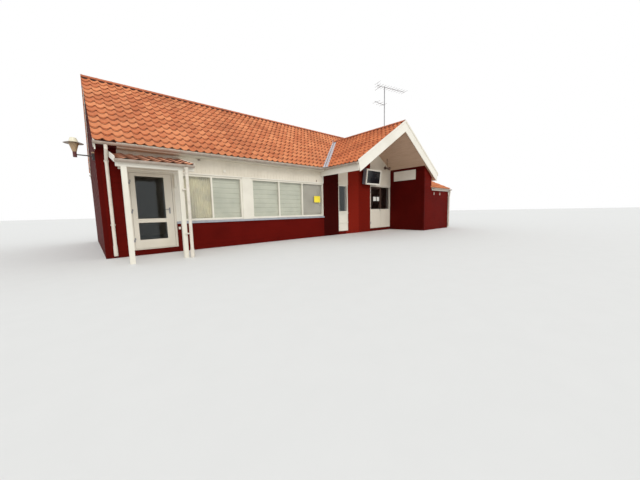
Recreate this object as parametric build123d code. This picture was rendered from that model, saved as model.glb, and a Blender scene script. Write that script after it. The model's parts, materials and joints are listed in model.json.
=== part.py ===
from build123d import *
import math
import os

# A small single-storey railway station: a long block under a pantile roof, a cross gable
# that shelters a recessed entrance, a wing and a low lean-to beside it, and a door porch.
# X runs along the front, Y goes in from the front wall's face, Z is up.
# The origin is at ground level, on the corner of the front wall and the west gable.
# Along X each part is laid out from its western neighbour, so the length follows.

# Main block
main_depth = 6300
wall = 240
floor_height = 150
opening_head = 2300

# Main roof, its layers measured square to the slope
main_pitch = 37.5
eave_height = 2960
eave_reach = 330
verge_reach = 50
tile_layer = 70
deck_layer = 70
eave_board = 18
fascia_board = 25
fascia_setback = 45
soffit_drop = 180
verge_board = 25
verge_board_width = 220
ridge_tile_radius = 110
ridge_tile_wall = 18
ridge_tile_sink = 75

# Gutters and downpipes
gutter_radius = 62
gutter_wall = 4
gutter_gap = 5
pipe_radius = 38
west_pipe_x = 190
pipe_wall_gap = 80
pipe_foot_height = 60
pipe_neck = 90
pipe_neck_drop = 260
clip_height = 30
clip_width = 50
clip_heights = (850, 2450)
low_clip_heights = (600, 1700)
porch_pipe_gap = 70
lean_pipe_inset = 70
funnel_radius = 60
funnel_height = 90
round_sides = 24

# Porch door
porch_door_left = 570
porch_door_width = 1120

# Window strips
sill_height = 820
window_rise = 80
door_pier = 60
first_span = 2050
first_panes = 2
strip_pier = 350
second_span = 3410
second_panes = 3
window_frame = 60
window_frame_depth = 90
window_setback = 20
mullion = 50
glass = 8
blind = 4
blind_overlap = 20
sill_reach = 45
sill_fall = 30
sill_sheet = 45
cream_left = 410

# Rear windows, copies of the two front strips, the long one behind its twin
rear_gap = 1940

# Cross gable
gable_window_cover = 190
gable_half_width = 3200
gable_pitch = 32.5
gable_overhang = 130
gable_board = 25
gable_board_width = 410
gable_foot_cut = 15
gable_fascia_drop = 375
valley_width = 160
valley_metal = 3

# Recess under the cross gable
side_light_gap = 920
side_light_width = 650
side_light_panel_top = 1080
platform_unit_width = 1820
platform_unit_top = 2380
panel_recess = 15
panel_thickness = 30
guard_bar = 45
guard_bar_reach = 25
guard_bar_heights = (520, 960)

# Wing and lean-to, set in from the cross roof's east eave
wing_wall = 200
wing_depth = 2000
wing_inset = 1130
cheek_inset = 370
lean_width = 2100
pitch_change_y = 70
lean_eave_height = 2260
lean_eave_reach = 90
lean_fascia_setback = 35
lean_fascia_width = 120
header_bottom = 2300

# Porch
porch_depth = 1380
porch_post = 100
left_post_offset = 170
right_post_offset = 160
porch_left_reach = 160
porch_right_reach = 330
porch_pitch = 14
porch_soffit_gap = 50
porch_eave_reach = 45
porch_tile_layer = 50
porch_deck_layer = 30
porch_beam_height = 120
porch_verge_board = 20
porch_verge_width = 130

# Doors
door_frame = 60
door_frame_depth = 110
door_setback = 10
door_stop = 20
leaf_thickness = 50
side_gap = 6
lock_gap = 8
stop_gap = 6
threshold = 25
hinge_stile = 114
lock_stile = 190
top_rail = 84
mid_rail_bottom = 890
mid_rail_top = 1000
bottom_panel_top = 420
platform_leaf_width = 860
platform_hinge_stile = 70
platform_lock_stile = 90
platform_panel_top = 1150
division_width = 50
barrel_radius = 8
barrel_length = 55
barrel_gap = 0.3
hinge_plate_width = 24
handle_height = 1250
platform_handle_height = 1150
handle_length = 120
handle_radius = 9
handle_stem_radius = 7
handle_standoff = 45
handle_plate_width = 36
handle_plate_height = 170
handle_plate_low = 120
handle_plate = 6

# Display, sign board, loudspeakers, vents
display_offset = 100
display_lift = 15
display_width = 1180
display_height = 750
display_depth = 190
display_tilt = 7
display_gap = 60
display_frame_width = 75
display_frame_depth = 30
display_glass = 6
display_bracket_width = 420
display_bracket_height = 260
sign_near = 250
sign_length = 1280
sign_bottom = 2640
sign_height = 500
sign_thickness = 30
speaker_offset = 790
speaker_y = -330
speaker_height = 3280
speaker_rod = 12
driver_box = 60
horn_length = 190
horn_mouth = 85
horn_throat = 22
horn_wall = 5
vent_height = 1830
vent_width = 70
vent_tall = 130
vent_depth = 40
vent_inset = 220
vent_spacing = 680

# Wall lamp
lamp_y = 150
lamp_arm_height = 2590
lamp_arm_length = 380
lamp_arm_radius = 14
lamp_box_width = 110
lamp_box_height = 190
lamp_box_depth = 70
lamp_socket_radius = 38
lamp_socket_height = 120
lamp_cone_height = 200
lamp_cone_radius = 95
lamp_rim_radius = 190
lamp_rim_height = 40
lamp_dome_radius = 90
lamp_dome_height = 90

# Antenna
mast_y = -930
mast_offset = 150
mast_radius = 20
mast_top = 6840
boom_radius = 10
boom_back = 410
boom_front = 1260
boom_turn = 14
boom_drop = 20
element_bar = 8
element_length = 420
element_count = 11
reflector_height = 260
low_boom_drop = 830
low_boom_length = 740

# Sizes that follow from the ones above
main_tan = math.tan(math.radians(main_pitch))
gable_tan = math.tan(math.radians(gable_pitch))
porch_tan = math.tan(math.radians(porch_pitch))
ridge_y = main_depth / 2
ridge_height = eave_height + (ridge_y + eave_reach) * main_tan
soffit_height = eave_height - soffit_drop
porch_door_right = porch_door_left + porch_door_width
window_bottom = sill_height + window_rise
first_strip_left = porch_door_right + door_pier
first_strip_right = first_strip_left + first_span
second_strip_left = first_strip_right + strip_pier
second_strip_right = second_strip_left + second_span
rear_first_left = second_strip_left
rear_second_left = rear_first_left + second_span + rear_gap
gable_left = second_strip_right - gable_window_cover
gable_ridge_x = gable_left + gable_half_width
gable_right = gable_ridge_x + gable_half_width
gable_reach = wing_depth + gable_overhang
gable_fascia_bottom = eave_height - gable_fascia_drop
gable_ridge_height = eave_height + gable_half_width * gable_tan
gable_head_y = ridge_y - (ridge_height - gable_ridge_height) / main_tan
wing_x = gable_right - wing_inset
wing_inner_x = wing_x + wing_wall
wing_back = -wing_depth + wing_wall
cheek_x = gable_right - cheek_inset
main_length = cheek_x + lean_width
inner_right = main_length - wall
lean_eave_y = -wing_depth - lean_eave_reach
lean_rise = eave_height + (eave_reach + pitch_change_y) * main_tan - lean_eave_height
lean_tan = lean_rise / (pitch_change_y - lean_eave_y)
lean_pitch = math.degrees(math.atan(lean_tan))
fascia_y = -eave_reach + fascia_setback
fascia_back = fascia_y + fascia_board
lean_fascia_y = lean_eave_y + lean_fascia_setback
side_light_left = second_strip_right + side_light_gap
side_light_right = side_light_left + side_light_width
platform_unit_left = wing_x - platform_unit_width
display_x = platform_unit_left - display_offset
display_bottom = platform_unit_top + display_lift
speaker_x = wing_x - speaker_offset
vent_first_x = cheek_x + vent_inset
lean_pipe_x = main_length - lean_pipe_inset
porch_beam_y = -porch_depth - porch_post / 2
porch_eave_y = porch_beam_y - porch_eave_reach
porch_top_height = soffit_height - porch_soffit_gap
porch_left_post = porch_door_left - left_post_offset
porch_right_post = porch_door_right - right_post_offset
porch_roof_left = porch_left_post - porch_left_reach
porch_roof_right = porch_right_post + porch_right_reach
porch_pipe_x = porch_right_post + porch_post / 2 + porch_pipe_gap
boom_height = mast_top - boom_drop
low_boom_height = mast_top - low_boom_drop
door_front = door_setback
door_back = door_setback + leaf_thickness
leaf_bottom = floor_height + threshold + stop_gap
sky = 3 * main_depth


def plumb(layer, pitch):
    """The plumb height of a layer that is measured square to its slope."""
    return layer / math.cos(math.radians(pitch))


main_tiles_drop = plumb(tile_layer, main_pitch)
main_drop = plumb(tile_layer + deck_layer, main_pitch)
gable_tiles_drop = plumb(tile_layer, gable_pitch)
gable_drop = plumb(tile_layer + deck_layer, gable_pitch)
lean_tiles_drop = plumb(tile_layer, lean_pitch)
lean_drop = plumb(tile_layer + deck_layer, lean_pitch)
porch_tiles_drop = plumb(porch_tile_layer, porch_pitch)
porch_drop = plumb(porch_tile_layer + porch_deck_layer, porch_pitch)
main_rim = eave_height - main_tiles_drop - gutter_gap
gable_rim = eave_height - gable_tiles_drop - gutter_gap
lean_rim = lean_eave_height - lean_tiles_drop - gutter_gap
deck_setback = fascia_setback + fascia_board
gable_soffit_drop = gable_fascia_drop + deck_setback * gable_tan
main_gutter_y = fascia_y - gutter_radius
gable_gutter_x = gable_left + fascia_setback - gutter_radius
east_gutter_x = gable_right - fascia_setback + gutter_radius
lean_gutter_y = lean_fascia_y - gutter_radius
porch_gutter_y = porch_beam_y - gutter_radius


def block(x0, x1, y0, y1, z0, z1):
    """A plain box between two corners."""
    centre = Pos((x0 + x1) / 2, (y0 + y1) / 2, (z0 + z1) / 2)
    return centre * Box(x1 - x0, y1 - y0, z1 - z0)


def run_x(section, x0, x1):
    """A closed outline of (y, z) points, run along X."""
    outline = Polyline(*[(x0, y, z) for y, z in section], close=True)
    return extrude(make_face(outline), amount=x1 - x0, dir=(1, 0, 0))


def run_y(section, y0, y1):
    """A closed outline of (x, z) points, run along Y."""
    outline = Polyline(*[(x, y0, z) for x, z in section], close=True)
    return extrude(make_face(outline), amount=y1 - y0, dir=(0, 1, 0))


def bar(start, end, radius):
    """A round bar from one point to another."""
    axis = Vector(*end) - Vector(*start)
    return extrude(Plane(origin=start, z_dir=axis) * Circle(radius), amount=axis.length)


def facet_cone(low_radius, high_radius, low, high):
    """A cone about the Z axis with flat facets, drawn from its wide end to its narrow one."""
    wide = max(low_radius, high_radius)
    step = (wide - min(low_radius, high_radius)) * math.cos(math.pi / round_sides)
    lean = math.degrees(math.atan(step / (high - low)))
    cone = extrude(RegularPolygon(wide, round_sides), amount=high - low, taper=lean)
    if high_radius > low_radius:
        return Pos(0, 0, high) * (Rot(180, 0, 0) * cone)
    return Pos(0, 0, low) * cone


def to_rear(shape):
    """The same piece on the rear side, mirrored front to back."""
    return mirror(shape, about=Plane.XZ.offset(-ridge_y))


def export(name, *shapes):
    """Writes one named piece, of one or more solids."""
    solids = [solid for shape in shapes for solid in shape.solids()]
    shape = solids[0] if len(solids) == 1 else Compound(children=solids)
    export_step(shape, f"parts/{name}.step")


# Roof planes

def main_top(y):
    """Height of the main roof's tile tops over a line at y."""
    return ridge_height - abs(y - ridge_y) * main_tan


def gable_top(x):
    """Height of the cross roof's tile tops over a line at x."""
    return gable_ridge_height - abs(x - gable_ridge_x) * gable_tan


def lean_top(y):
    """Height of the lean-to's tile tops over a line at y."""
    return lean_eave_height + (y - lean_eave_y) * lean_tan


def porch_top(y):
    """Height of the porch's tile tops over a line at y."""
    return porch_top_height + y * porch_tan


def sloping(top, y0, y1, upper, lower, x0, x1):
    """A layer under a slope along X, between two plumb drops, with plumb-cut ends."""
    section = [(y0, top(y0) - upper), (y1, top(y1) - upper), (y1, top(y1) - lower), (y0, top(y0) - lower)]
    return run_x(section, x0, x1)


def under_main(x0, x1, drop):
    """The space under the main roof between two planes across it."""
    front = -eave_reach
    rear = main_depth + eave_reach
    edge = [(y, main_top(y) - drop) for y in (front, ridge_y, rear)]
    return run_x([(front, 0)] + edge + [(rear, 0)], x0, x1)


def under_gable(y0, y1, drop):
    """The space under the cross roof between two planes across it."""
    edge = [(x, gable_top(x) - drop) for x in (gable_left, gable_ridge_x, gable_right)]
    return run_y([(gable_left, 0)] + edge + [(gable_right, 0)], y0, y1)


def under_lean(x0, x1):
    """The space under the lean-to roof, back to where the main roof takes over."""
    edge = [(y, lean_top(y) - lean_drop) for y in (lean_eave_y, pitch_change_y)]
    return run_x([(lean_eave_y, 0)] + edge + [(pitch_change_y, 0)], x0, x1)


def under_roofs():
    """Everything that the roofs cover, so that a wall cut to it meets the slopes."""
    space = under_main(0, gable_left, main_drop)
    space += under_main(gable_right, main_length, main_drop) & block(0, sky, pitch_change_y, sky, 0, sky)
    space += under_gable(-gable_reach, gable_head_y, gable_drop)
    return space + under_lean(gable_right, main_length)


# Roof coverings

def valley_notch(widen):
    """What the cross roof takes out of the slopes behind it, widened on both sides."""
    section = [
        (gable_left - widen, 0),
        (gable_left - widen, eave_height),
        (gable_ridge_x, gable_ridge_height + widen * gable_tan),
        (gable_right + widen, eave_height),
        (gable_right + widen, 0),
    ]
    return run_y(section, -sky, ridge_y)


def front_layer(y0, upper, lower):
    """A layer of the main roof's front slope, open where the cross roof meets it."""
    slab = sloping(main_top, y0, ridge_y, upper, lower, -verge_reach, main_length + verge_reach)
    return slab - block(gable_ridge_x, sky, -sky, pitch_change_y, 0, sky)


def lean_layer(y0, upper, lower, x1):
    """A layer of the lean-to's slope, passing under the cross roof's east eave."""
    slab = sloping(lean_top, y0, pitch_change_y, upper, lower, gable_ridge_x, x1)
    under_eave = slab & block(cheek_x, gable_right, -sky, 0, 0, gable_fascia_bottom)
    return (slab - valley_notch(0)) + under_eave


def gable_layer(side, setback, upper, lower):
    """A layer of one cross slope, run back until it passes under the main slope."""
    eave_x = gable_ridge_x + side * (gable_half_width - setback)
    section = [
        (gable_ridge_x, gable_ridge_height - upper),
        (eave_x, gable_top(eave_x) - upper),
        (eave_x, gable_top(eave_x) - lower),
        (gable_ridge_x, gable_ridge_height - lower),
    ]
    slab = run_y(section, -gable_reach, ridge_y)
    behind = [(y, main_top(y) - main_drop) for y in (-gable_reach, ridge_y)]
    return slab - run_x([(-gable_reach, 0)] + behind + [(ridge_y, 0)], 0, sky)


def main_tiles_front():
    """The tiled front slope, cut back beside the valleys."""
    return front_layer(-eave_reach, 0, main_tiles_drop) - valley_notch(valley_width)


def valley_flashings():
    """Metal strips in the valleys, lying where the tiles are cut back."""
    metal_drop = main_tiles_drop - plumb(valley_metal, main_pitch)
    strip = front_layer(-eave_reach, metal_drop, main_tiles_drop)
    return (strip & valley_notch(valley_width)) - valley_notch(0)


def ridge_tiles():
    """The half-round cappings of the main ridge and of the cross ridge."""
    ring = Circle(ridge_tile_radius) - Circle(ridge_tile_radius - ridge_tile_wall)
    arch = ring & Pos(0, ridge_tile_radius) * Rectangle(2 * ridge_tile_radius, 2 * ridge_tile_radius)
    main = extrude(Plane.YZ * arch, amount=main_length + 2 * verge_reach)
    main = Pos(-verge_reach, ridge_y, ridge_height - ridge_tile_sink) * main
    main -= under_main(-sky, sky, 0)
    reach = gable_reach + ridge_y
    cross = extrude(Plane.XZ * arch, amount=-reach)
    cross = Pos(gable_ridge_x, -gable_reach, gable_ridge_height - ridge_tile_sink) * cross
    cross -= under_gable(-sky, sky, 0)
    cross -= under_main(-sky, sky, 0)
    return main, cross


# Boards and fascias

def verge_board_along(x0, front_y):
    """A board under the main roof's tile edge, from the front at front_y to the rear fascia."""
    board = under_main(x0, x0 + verge_board, main_tiles_drop)
    board -= under_main(x0, x0 + verge_board, main_tiles_drop + verge_board_width)
    return board & block(x0, x0 + verge_board, front_y, main_depth - fascia_y, 0, sky)


def verge_boards():
    """The thin boards under the tile edge on both end walls, the east one down the lean-to."""
    east = verge_board_along(main_length, pitch_change_y)
    low = main_tiles_drop + verge_board_width
    east += sloping(
        lean_top, lean_fascia_y, pitch_change_y, lean_tiles_drop, low, main_length, main_length + verge_board,
    )
    return verge_board_along(-verge_board, fascia_y), east


def bargeboards():
    """The two wide sloping boards on the front of the cross gable, their feet cut aslant."""
    drop = plumb(gable_board_width, gable_pitch)
    step = drop / (gable_tan + 1 / math.tan(math.radians(gable_foot_cut)))
    foot = gable_top(gable_left + step) - drop
    section = [
        (gable_left, eave_height),
        (gable_ridge_x, gable_ridge_height),
        (gable_right, eave_height),
        (gable_right - step, foot),
        (gable_ridge_x, gable_ridge_height - drop),
        (gable_left + step, foot),
    ]
    return run_y(section, -gable_reach - gable_board, -gable_reach)


def gable_soffit(side):
    """The boards of one cross slope's soffit, level with the fascia's lower edge."""
    boards = gable_layer(side, deck_setback, gable_soffit_drop - plumb(eave_board, gable_pitch), gable_soffit_drop)
    cover = block(gable_left, wing_x, -gable_reach, 0, 0, sky)
    cover += block(wing_x, gable_right, -gable_reach, -wing_depth, 0, sky)
    cover += block(cheek_x, gable_right, -gable_reach, lean_clear_y(), 0, sky)
    return boards & cover


def gable_fascia(side, back):
    """The board under one eave of the cross roof, behind its gutter."""
    outer = gable_ridge_x + side * (gable_half_width - fascia_setback)
    inner = outer - side * fascia_board
    section = [
        (outer, gable_fascia_bottom),
        (outer, gable_top(outer) - gable_tiles_drop),
        (inner, gable_top(inner) - gable_tiles_drop),
        (inner, gable_fascia_bottom),
    ]
    return run_y(section, -gable_reach, back)


def lean_clear_y():
    """Where the lean-to's tiles rise to the east fascia's lower edge."""
    return lean_eave_y + (gable_fascia_bottom - lean_eave_height) / lean_tan


def lean_fascia():
    """The board along the lean-to's eave."""
    y1 = lean_fascia_y + fascia_board
    bottom = lean_eave_height - lean_tiles_drop - lean_fascia_width
    section = [
        (lean_fascia_y, bottom),
        (lean_fascia_y, lean_top(lean_fascia_y) - lean_tiles_drop),
        (y1, lean_top(y1) - lean_tiles_drop),
        (y1, bottom),
    ]
    return run_x(section, cheek_x, main_length)


def eave_boards(x0, x1):
    """The fascia and the flat soffit board of an eave."""
    section = [
        (fascia_y, soffit_height),
        (fascia_y, main_top(fascia_y) - main_tiles_drop),
        (fascia_back, main_top(fascia_back) - main_tiles_drop),
        (fascia_back, soffit_height + eave_board),
        (0, soffit_height + eave_board),
        (0, soffit_height),
    ]
    return run_x(section, x0, x1)


# Walls

def west_gable_wall():
    """The west end wall, up to the underside of the roof."""
    return block(0, wall, 0, main_depth, 0, sky) & under_main(0, wall, main_drop)


def east_gable_wall():
    """The east end wall, which also closes the lean-to."""
    high = block(inner_right, main_length, pitch_change_y, main_depth, 0, sky)
    high &= under_main(inner_right, main_length, main_drop)
    low = block(inner_right, main_length, -wing_depth, pitch_change_y, 0, sky)
    return high + (low & under_lean(inner_right, main_length))


def rear_wall():
    """The back wall with its two window openings."""
    slab = block(wall, inner_right, main_depth - wall, main_depth, 0, sky)
    slab &= under_main(wall, inner_right, main_drop)
    for left, span in ((rear_first_left, second_span), (rear_second_left, first_span)):
        slab -= block(left, left + span, 0, sky, sill_height, opening_head)
    return slab


def front_wall(space):
    """The red corner beside the door, the wall under the windows and the recess wall."""
    corner = block(wall, cream_left, 0, wall, 0, sky) & space
    corner += block(cream_left, porch_door_left, 0, wall, 0, opening_head)
    low = block(porch_door_right, second_strip_right, 0, wall, 0, sill_height)
    low += block(second_strip_right, platform_unit_left, 0, wall, 0, sky) & space
    low -= block(side_light_left, side_light_right, 0, wall, floor_height, sky)
    return corner, low


def front_frieze(space):
    """The cream boarding over the door and the windows."""
    return block(cream_left, second_strip_right, 0, wall, opening_head, sky) & space


def window_piers():
    """The white uprights beside and between the front windows."""
    metal = sill(porch_door_right, second_strip_right)
    spans = ((porch_door_right, first_strip_left), (first_strip_right, second_strip_left))
    return [block(x0, x1, 0, wall, sill_height, opening_head) - metal for x0, x1 in spans]


def recess_panels(space):
    """The cream wall over the side light and over the platform door, up to the roof."""
    over_light = block(side_light_left, side_light_right, 0, wall, opening_head, sky)
    over_door = block(platform_unit_left, wing_x, 0, wall, platform_unit_top, sky)
    return over_light & space, over_door & space


def door_bases():
    """The raised bases that the two door units stand on."""
    porch = block(porch_door_left, porch_door_right, 0, wall, 0, floor_height)
    platform = block(platform_unit_left, wing_x, 0, wall, 0, floor_height)
    return porch, platform


def wing_side_wall(space):
    """The wall that closes the recess on the east."""
    return block(wing_x, wing_inner_x, -wing_depth, wall, 0, sky) & space


def wing_front_wall(space):
    """The front of the wing and, lower down, of the lean-to."""
    tall = block(wing_inner_x, cheek_x, -wing_depth, wing_back, 0, sky) & space
    low = block(cheek_x, inner_right, -wing_depth, wing_back, 0, sky)
    return tall + (low & under_lean(cheek_x, inner_right))


def wing_upper_walls(space):
    """The wall above the lean-to roof and the beam over the wing's open back."""
    cheek = block(cheek_x - wing_wall, cheek_x, wing_back, 0, header_bottom, sky)
    header = block(wing_inner_x, inner_right, 0, wall, header_bottom, sky)
    return (cheek + header) & space


def floor_slab():
    """The floor inside the walls, out into the wing and the lean-to."""
    slab = block(wall, inner_right, wall, main_depth - wall, 0, floor_height)
    return slab + block(wing_inner_x, inner_right, wing_back, wall, 0, floor_height)


# Windows

def pane_spans(left, span, panes):
    """Left and right edges of each pane of a strip."""
    clear = (span - 2 * window_frame - (panes - 1) * mullion) / panes
    starts = [left + window_frame + number * (clear + mullion) for number in range(panes)]
    return [(x0, x0 + clear) for x0 in starts]


def window_strip(left, span, panes):
    """The frame of a strip, with a hole for each pane."""
    y0 = window_setback
    frame = block(left, left + span, y0, y0 + window_frame_depth, window_bottom, opening_head)
    for x0, x1 in pane_spans(left, span, panes):
        frame -= block(x0, x1, -wall, wall, window_bottom + window_frame, opening_head - window_frame)
    return frame


def window_panes(left, span, panes):
    """The glass of a strip, in the middle of its frame."""
    y0 = window_setback + (window_frame_depth - glass) / 2
    low = window_bottom + window_frame
    high = opening_head - window_frame
    return [block(x0, x1, y0, y0 + glass, low, high) for x0, x1 in pane_spans(left, span, panes)]


def window_sheets(left, span, panes):
    """The blinds of a strip, on the back of its frame."""
    y0 = window_setback + window_frame_depth
    low = window_bottom + window_frame - blind_overlap
    high = opening_head - window_frame + blind_overlap
    edge = blind_overlap
    return [block(x0 - edge, x1 + edge, y0, y0 + blind, low, high) for x0, x1 in pane_spans(left, span, panes)]


def sill(x0, x1):
    """A sloping metal sill under the frames."""
    lip = window_bottom - sill_fall
    section = [
        (window_setback + window_frame_depth, window_bottom),
        (window_setback, window_bottom),
        (-sill_reach, lip),
        (-sill_reach, lip - sill_sheet),
        (0, lip - sill_sheet),
        (0, sill_height),
        (window_setback + window_frame_depth, sill_height),
    ]
    return run_x(section, x0, x1)


front_strips = (
    (first_strip_left, first_span, first_panes),
    (second_strip_left, second_span, second_panes),
)
rear_strips = (
    (rear_first_left, second_span, second_panes),
    (rear_second_left, first_span, first_panes),
)


def side_light():
    """The narrow fixed light beside the entrance, with its lower panel and guard bars."""
    y0 = door_setback
    frame = block(side_light_left, side_light_right, y0, y0 + door_frame_depth, floor_height, opening_head)
    x0 = side_light_left + door_frame
    x1 = side_light_right - door_frame
    frame -= block(x0, x1, -wall, wall, side_light_panel_top, opening_head - door_frame)
    low = floor_height + door_frame
    high = side_light_panel_top - door_frame
    frame -= block(x0, x1, -wall, y0 + panel_recess, low, high)
    frame -= block(x0, x1, y0 + panel_recess + panel_thickness, wall, low, high)
    for z in guard_bar_heights:
        frame += block(side_light_left, side_light_right, y0 - guard_bar_reach, y0, z, z + guard_bar)
    return frame


# Doors

def door_frame_ring(left, width, top):
    """A frame with a rebate behind the leaf and a threshold."""
    y0 = door_front
    y1 = y0 + door_frame_depth
    low = floor_height + threshold
    right = left + width
    ring = block(left, right, y0, y1, floor_height, top)
    ring -= block(left + door_frame, right - door_frame, y0, door_back + stop_gap, low, top - door_frame)
    inset = door_frame + door_stop
    return ring - block(left + inset, right - inset, y0, y1, low, top - inset)


def platform_frame():
    """The platform door's frame with its division and the fixed light beside it."""
    y0 = door_front
    y1 = y0 + door_frame_depth
    division = platform_unit_left + door_frame + side_gap + platform_leaf_width + lock_gap
    frame = door_frame_ring(platform_unit_left, division + door_frame - platform_unit_left, platform_unit_top)
    fixed = block(division, wing_x, y0, y1, floor_height, platform_unit_top)
    light_left = division + division_width
    light_right = wing_x - door_frame
    fixed -= block(light_left, light_right, y0, y1, platform_panel_top, platform_unit_top - door_frame)
    low = floor_height + door_frame
    high = platform_panel_top - door_frame
    fixed -= block(light_left, light_right, y0, y0 + panel_recess, low, high)
    fixed -= block(light_left, light_right, y0 + panel_recess + panel_thickness, y1, low, high)
    keep = block(platform_unit_left, division, y0, y1, floor_height, platform_unit_top)
    return (frame & keep) + fixed


def fixed_lights():
    """The glass of the side light and of the light beside the platform door."""
    y0 = door_front + (leaf_thickness - glass) / 2
    x0 = side_light_left + door_frame
    x1 = side_light_right - door_frame
    side = block(x0, x1, y0, y0 + glass, side_light_panel_top, opening_head - door_frame)
    division = platform_unit_left + door_frame + side_gap + platform_leaf_width + lock_gap
    x0 = division + division_width
    x1 = wing_x - door_frame
    beside = block(x0, x1, y0, y0 + glass, platform_panel_top, platform_unit_top - door_frame)
    return side, beside


def door_leaf(x0, x1, top, lights):
    """A leaf with its lights cut through."""
    leaf = block(x0, x1, door_front, door_back, leaf_bottom, top)
    for a, b, low, high in lights:
        leaf -= block(a, b, door_front, door_back, low, high)
    return leaf


def leaf_glass(lights):
    """The glass in a leaf's lights."""
    y0 = door_front + (leaf_thickness - glass) / 2
    return [block(a, b, y0, y0 + glass, low, high) for a, b, low, high in lights]


def hinge_line(left):
    """The x of a door's hinge line, in the gap between frame and leaf."""
    return left + door_frame + side_gap / 2


def hinge_heights(top):
    """Three hinges up a leaf."""
    return [leaf_bottom + (top - leaf_bottom) * share for share in (0.12, 0.5, 0.88)]


def hinge_halves(left, top, side):
    """Three barrels on plates: the fixed lower halves for side -1, the leaf's halves for 1."""
    x = hinge_line(left)
    y = door_front - barrel_radius
    halves = []
    for height in hinge_heights(top):
        low = height + barrel_gap if side > 0 else height - barrel_length
        barrel = Pos(x, y, low + barrel_length / 2) * Cylinder(barrel_radius, barrel_length)
        x0 = min(x, x + side * hinge_plate_width)
        plate = block(x0, x0 + hinge_plate_width, y, door_front, low, low + barrel_length)
        halves.append(barrel + plate)
    return halves


def lever_set(x, height, towards):
    """Plates, spindle stems and levers on both faces of a leaf."""
    pieces = []
    for face, out in ((door_front, -1), (door_back, 1)):
        y0 = min(face, face + out * handle_plate)
        half = handle_plate_width / 2
        low = height - handle_plate_low
        plate = block(x - half, x + half, y0, y0 + handle_plate, low, low + handle_plate_height)
        end = face + out * handle_standoff
        stem = bar((x, face, height), (x, end, height), handle_stem_radius)
        start = x - towards * handle_radius
        lever = bar((start, end, height), (x + towards * handle_length, end, height), handle_radius)
        pieces.append(plate + stem + lever)
    return pieces


# Porch

def porch_beam():
    """The beam across the posts, cut to the slope of the deck."""
    y0 = porch_beam_y
    y1 = y0 + porch_post
    bottom = porch_top(y0) - porch_drop - porch_beam_height
    section = [(y0, bottom), (y0, porch_top(y0) - porch_drop), (y1, porch_top(y1) - porch_drop), (y1, bottom)]
    return run_x(section, porch_roof_left + porch_verge_board, porch_roof_right - porch_verge_board)


def porch_posts():
    """The two posts that carry the beam."""
    top = porch_top(porch_beam_y) - porch_drop - porch_beam_height
    half = porch_post / 2
    y0 = porch_beam_y
    return [block(x - half, x + half, y0, y0 + porch_post, 0, top) for x in (porch_left_post, porch_right_post)]


def porch_layer(y0, upper, lower):
    """A layer of the porch roof between its verge boards."""
    x0 = porch_roof_left + porch_verge_board
    x1 = porch_roof_right - porch_verge_board
    return sloping(porch_top, y0, 0, upper, lower, x0, x1)


def porch_verge_boards():
    """The white boards on both sides of the porch roof."""
    left = porch_roof_left
    right = porch_roof_right - porch_verge_board
    width = porch_verge_board
    return [sloping(porch_top, porch_beam_y, 0, 0, porch_verge_width, x, x + width) for x in (left, right)]


# Gutters and downpipes

def gutter_along_x(y, rim, x0, x1):
    """A half-round gutter with closed ends, along X."""
    outer = Pos(x0, y, rim) * half_round(gutter_radius, x1 - x0)
    inner = Pos(x0 + gutter_wall, y, rim) * half_round(gutter_radius - gutter_wall, x1 - x0 - 2 * gutter_wall)
    return outer - inner


def half_round(radius, length):
    """A solid half cylinder under the X axis."""
    half = Circle(radius) & Pos(0, -radius) * Rectangle(2 * radius, 2 * radius)
    return extrude(Plane.YZ * half, amount=length)


def gutter_along_y(x, rim, y0, y1):
    """A half-round gutter with closed ends, along Y."""
    return Pos(x, y0, 0) * (Rot(0, 0, 90) * gutter_along_x(0, rim, 0, y1 - y0))


def pipe_run(points):
    """A round pipe along straight runs, mitred at each bend."""
    section = Plane(origin=points[0], z_dir=Vector(*points[1]) - Vector(*points[0])) * Circle(pipe_radius)
    return sweep(section, path=Polyline(*points), transition=Transition.RIGHT)


def wall_clips(x, y, wall_face, heights):
    """The brackets that hold a downpipe to the wall behind it."""
    half = clip_width
    return [block(x - half, x + half, y, wall_face, z, z + clip_height) for z in heights]


def neck_pipe(x, y, rim, wall_face, heights):
    """A downpipe with a swan neck from a gutter back to the wall."""
    outlet = rim - gutter_radius
    back = wall_face - pipe_wall_gap
    turn = outlet - pipe_neck
    low = turn - pipe_neck_drop
    points = [(x, y, outlet), (x, y, turn), (x, back, low), (x, back, pipe_foot_height)]
    pipe = pipe_run(points)
    for clip in wall_clips(x, back, wall_face, heights):
        pipe += clip
    return pipe


def porch_pipe():
    """The porch's straight downpipe under a funnel, tied to the right post."""
    outlet = porch_rim - gutter_radius
    cone = facet_cone(pipe_radius, funnel_radius, 0, funnel_height)
    pipe = Pos(porch_pipe_x, porch_gutter_y, outlet - funnel_height) * cone
    pipe += bar((porch_pipe_x, porch_gutter_y, outlet - funnel_height), (porch_pipe_x, porch_gutter_y, 0), pipe_radius)
    post_side = porch_right_post + porch_post / 2
    for z in low_clip_heights:
        pipe += block(post_side - clip_width, porch_pipe_x, porch_gutter_y, porch_beam_y, z, z + clip_height)
    return pipe


# Fittings

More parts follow.
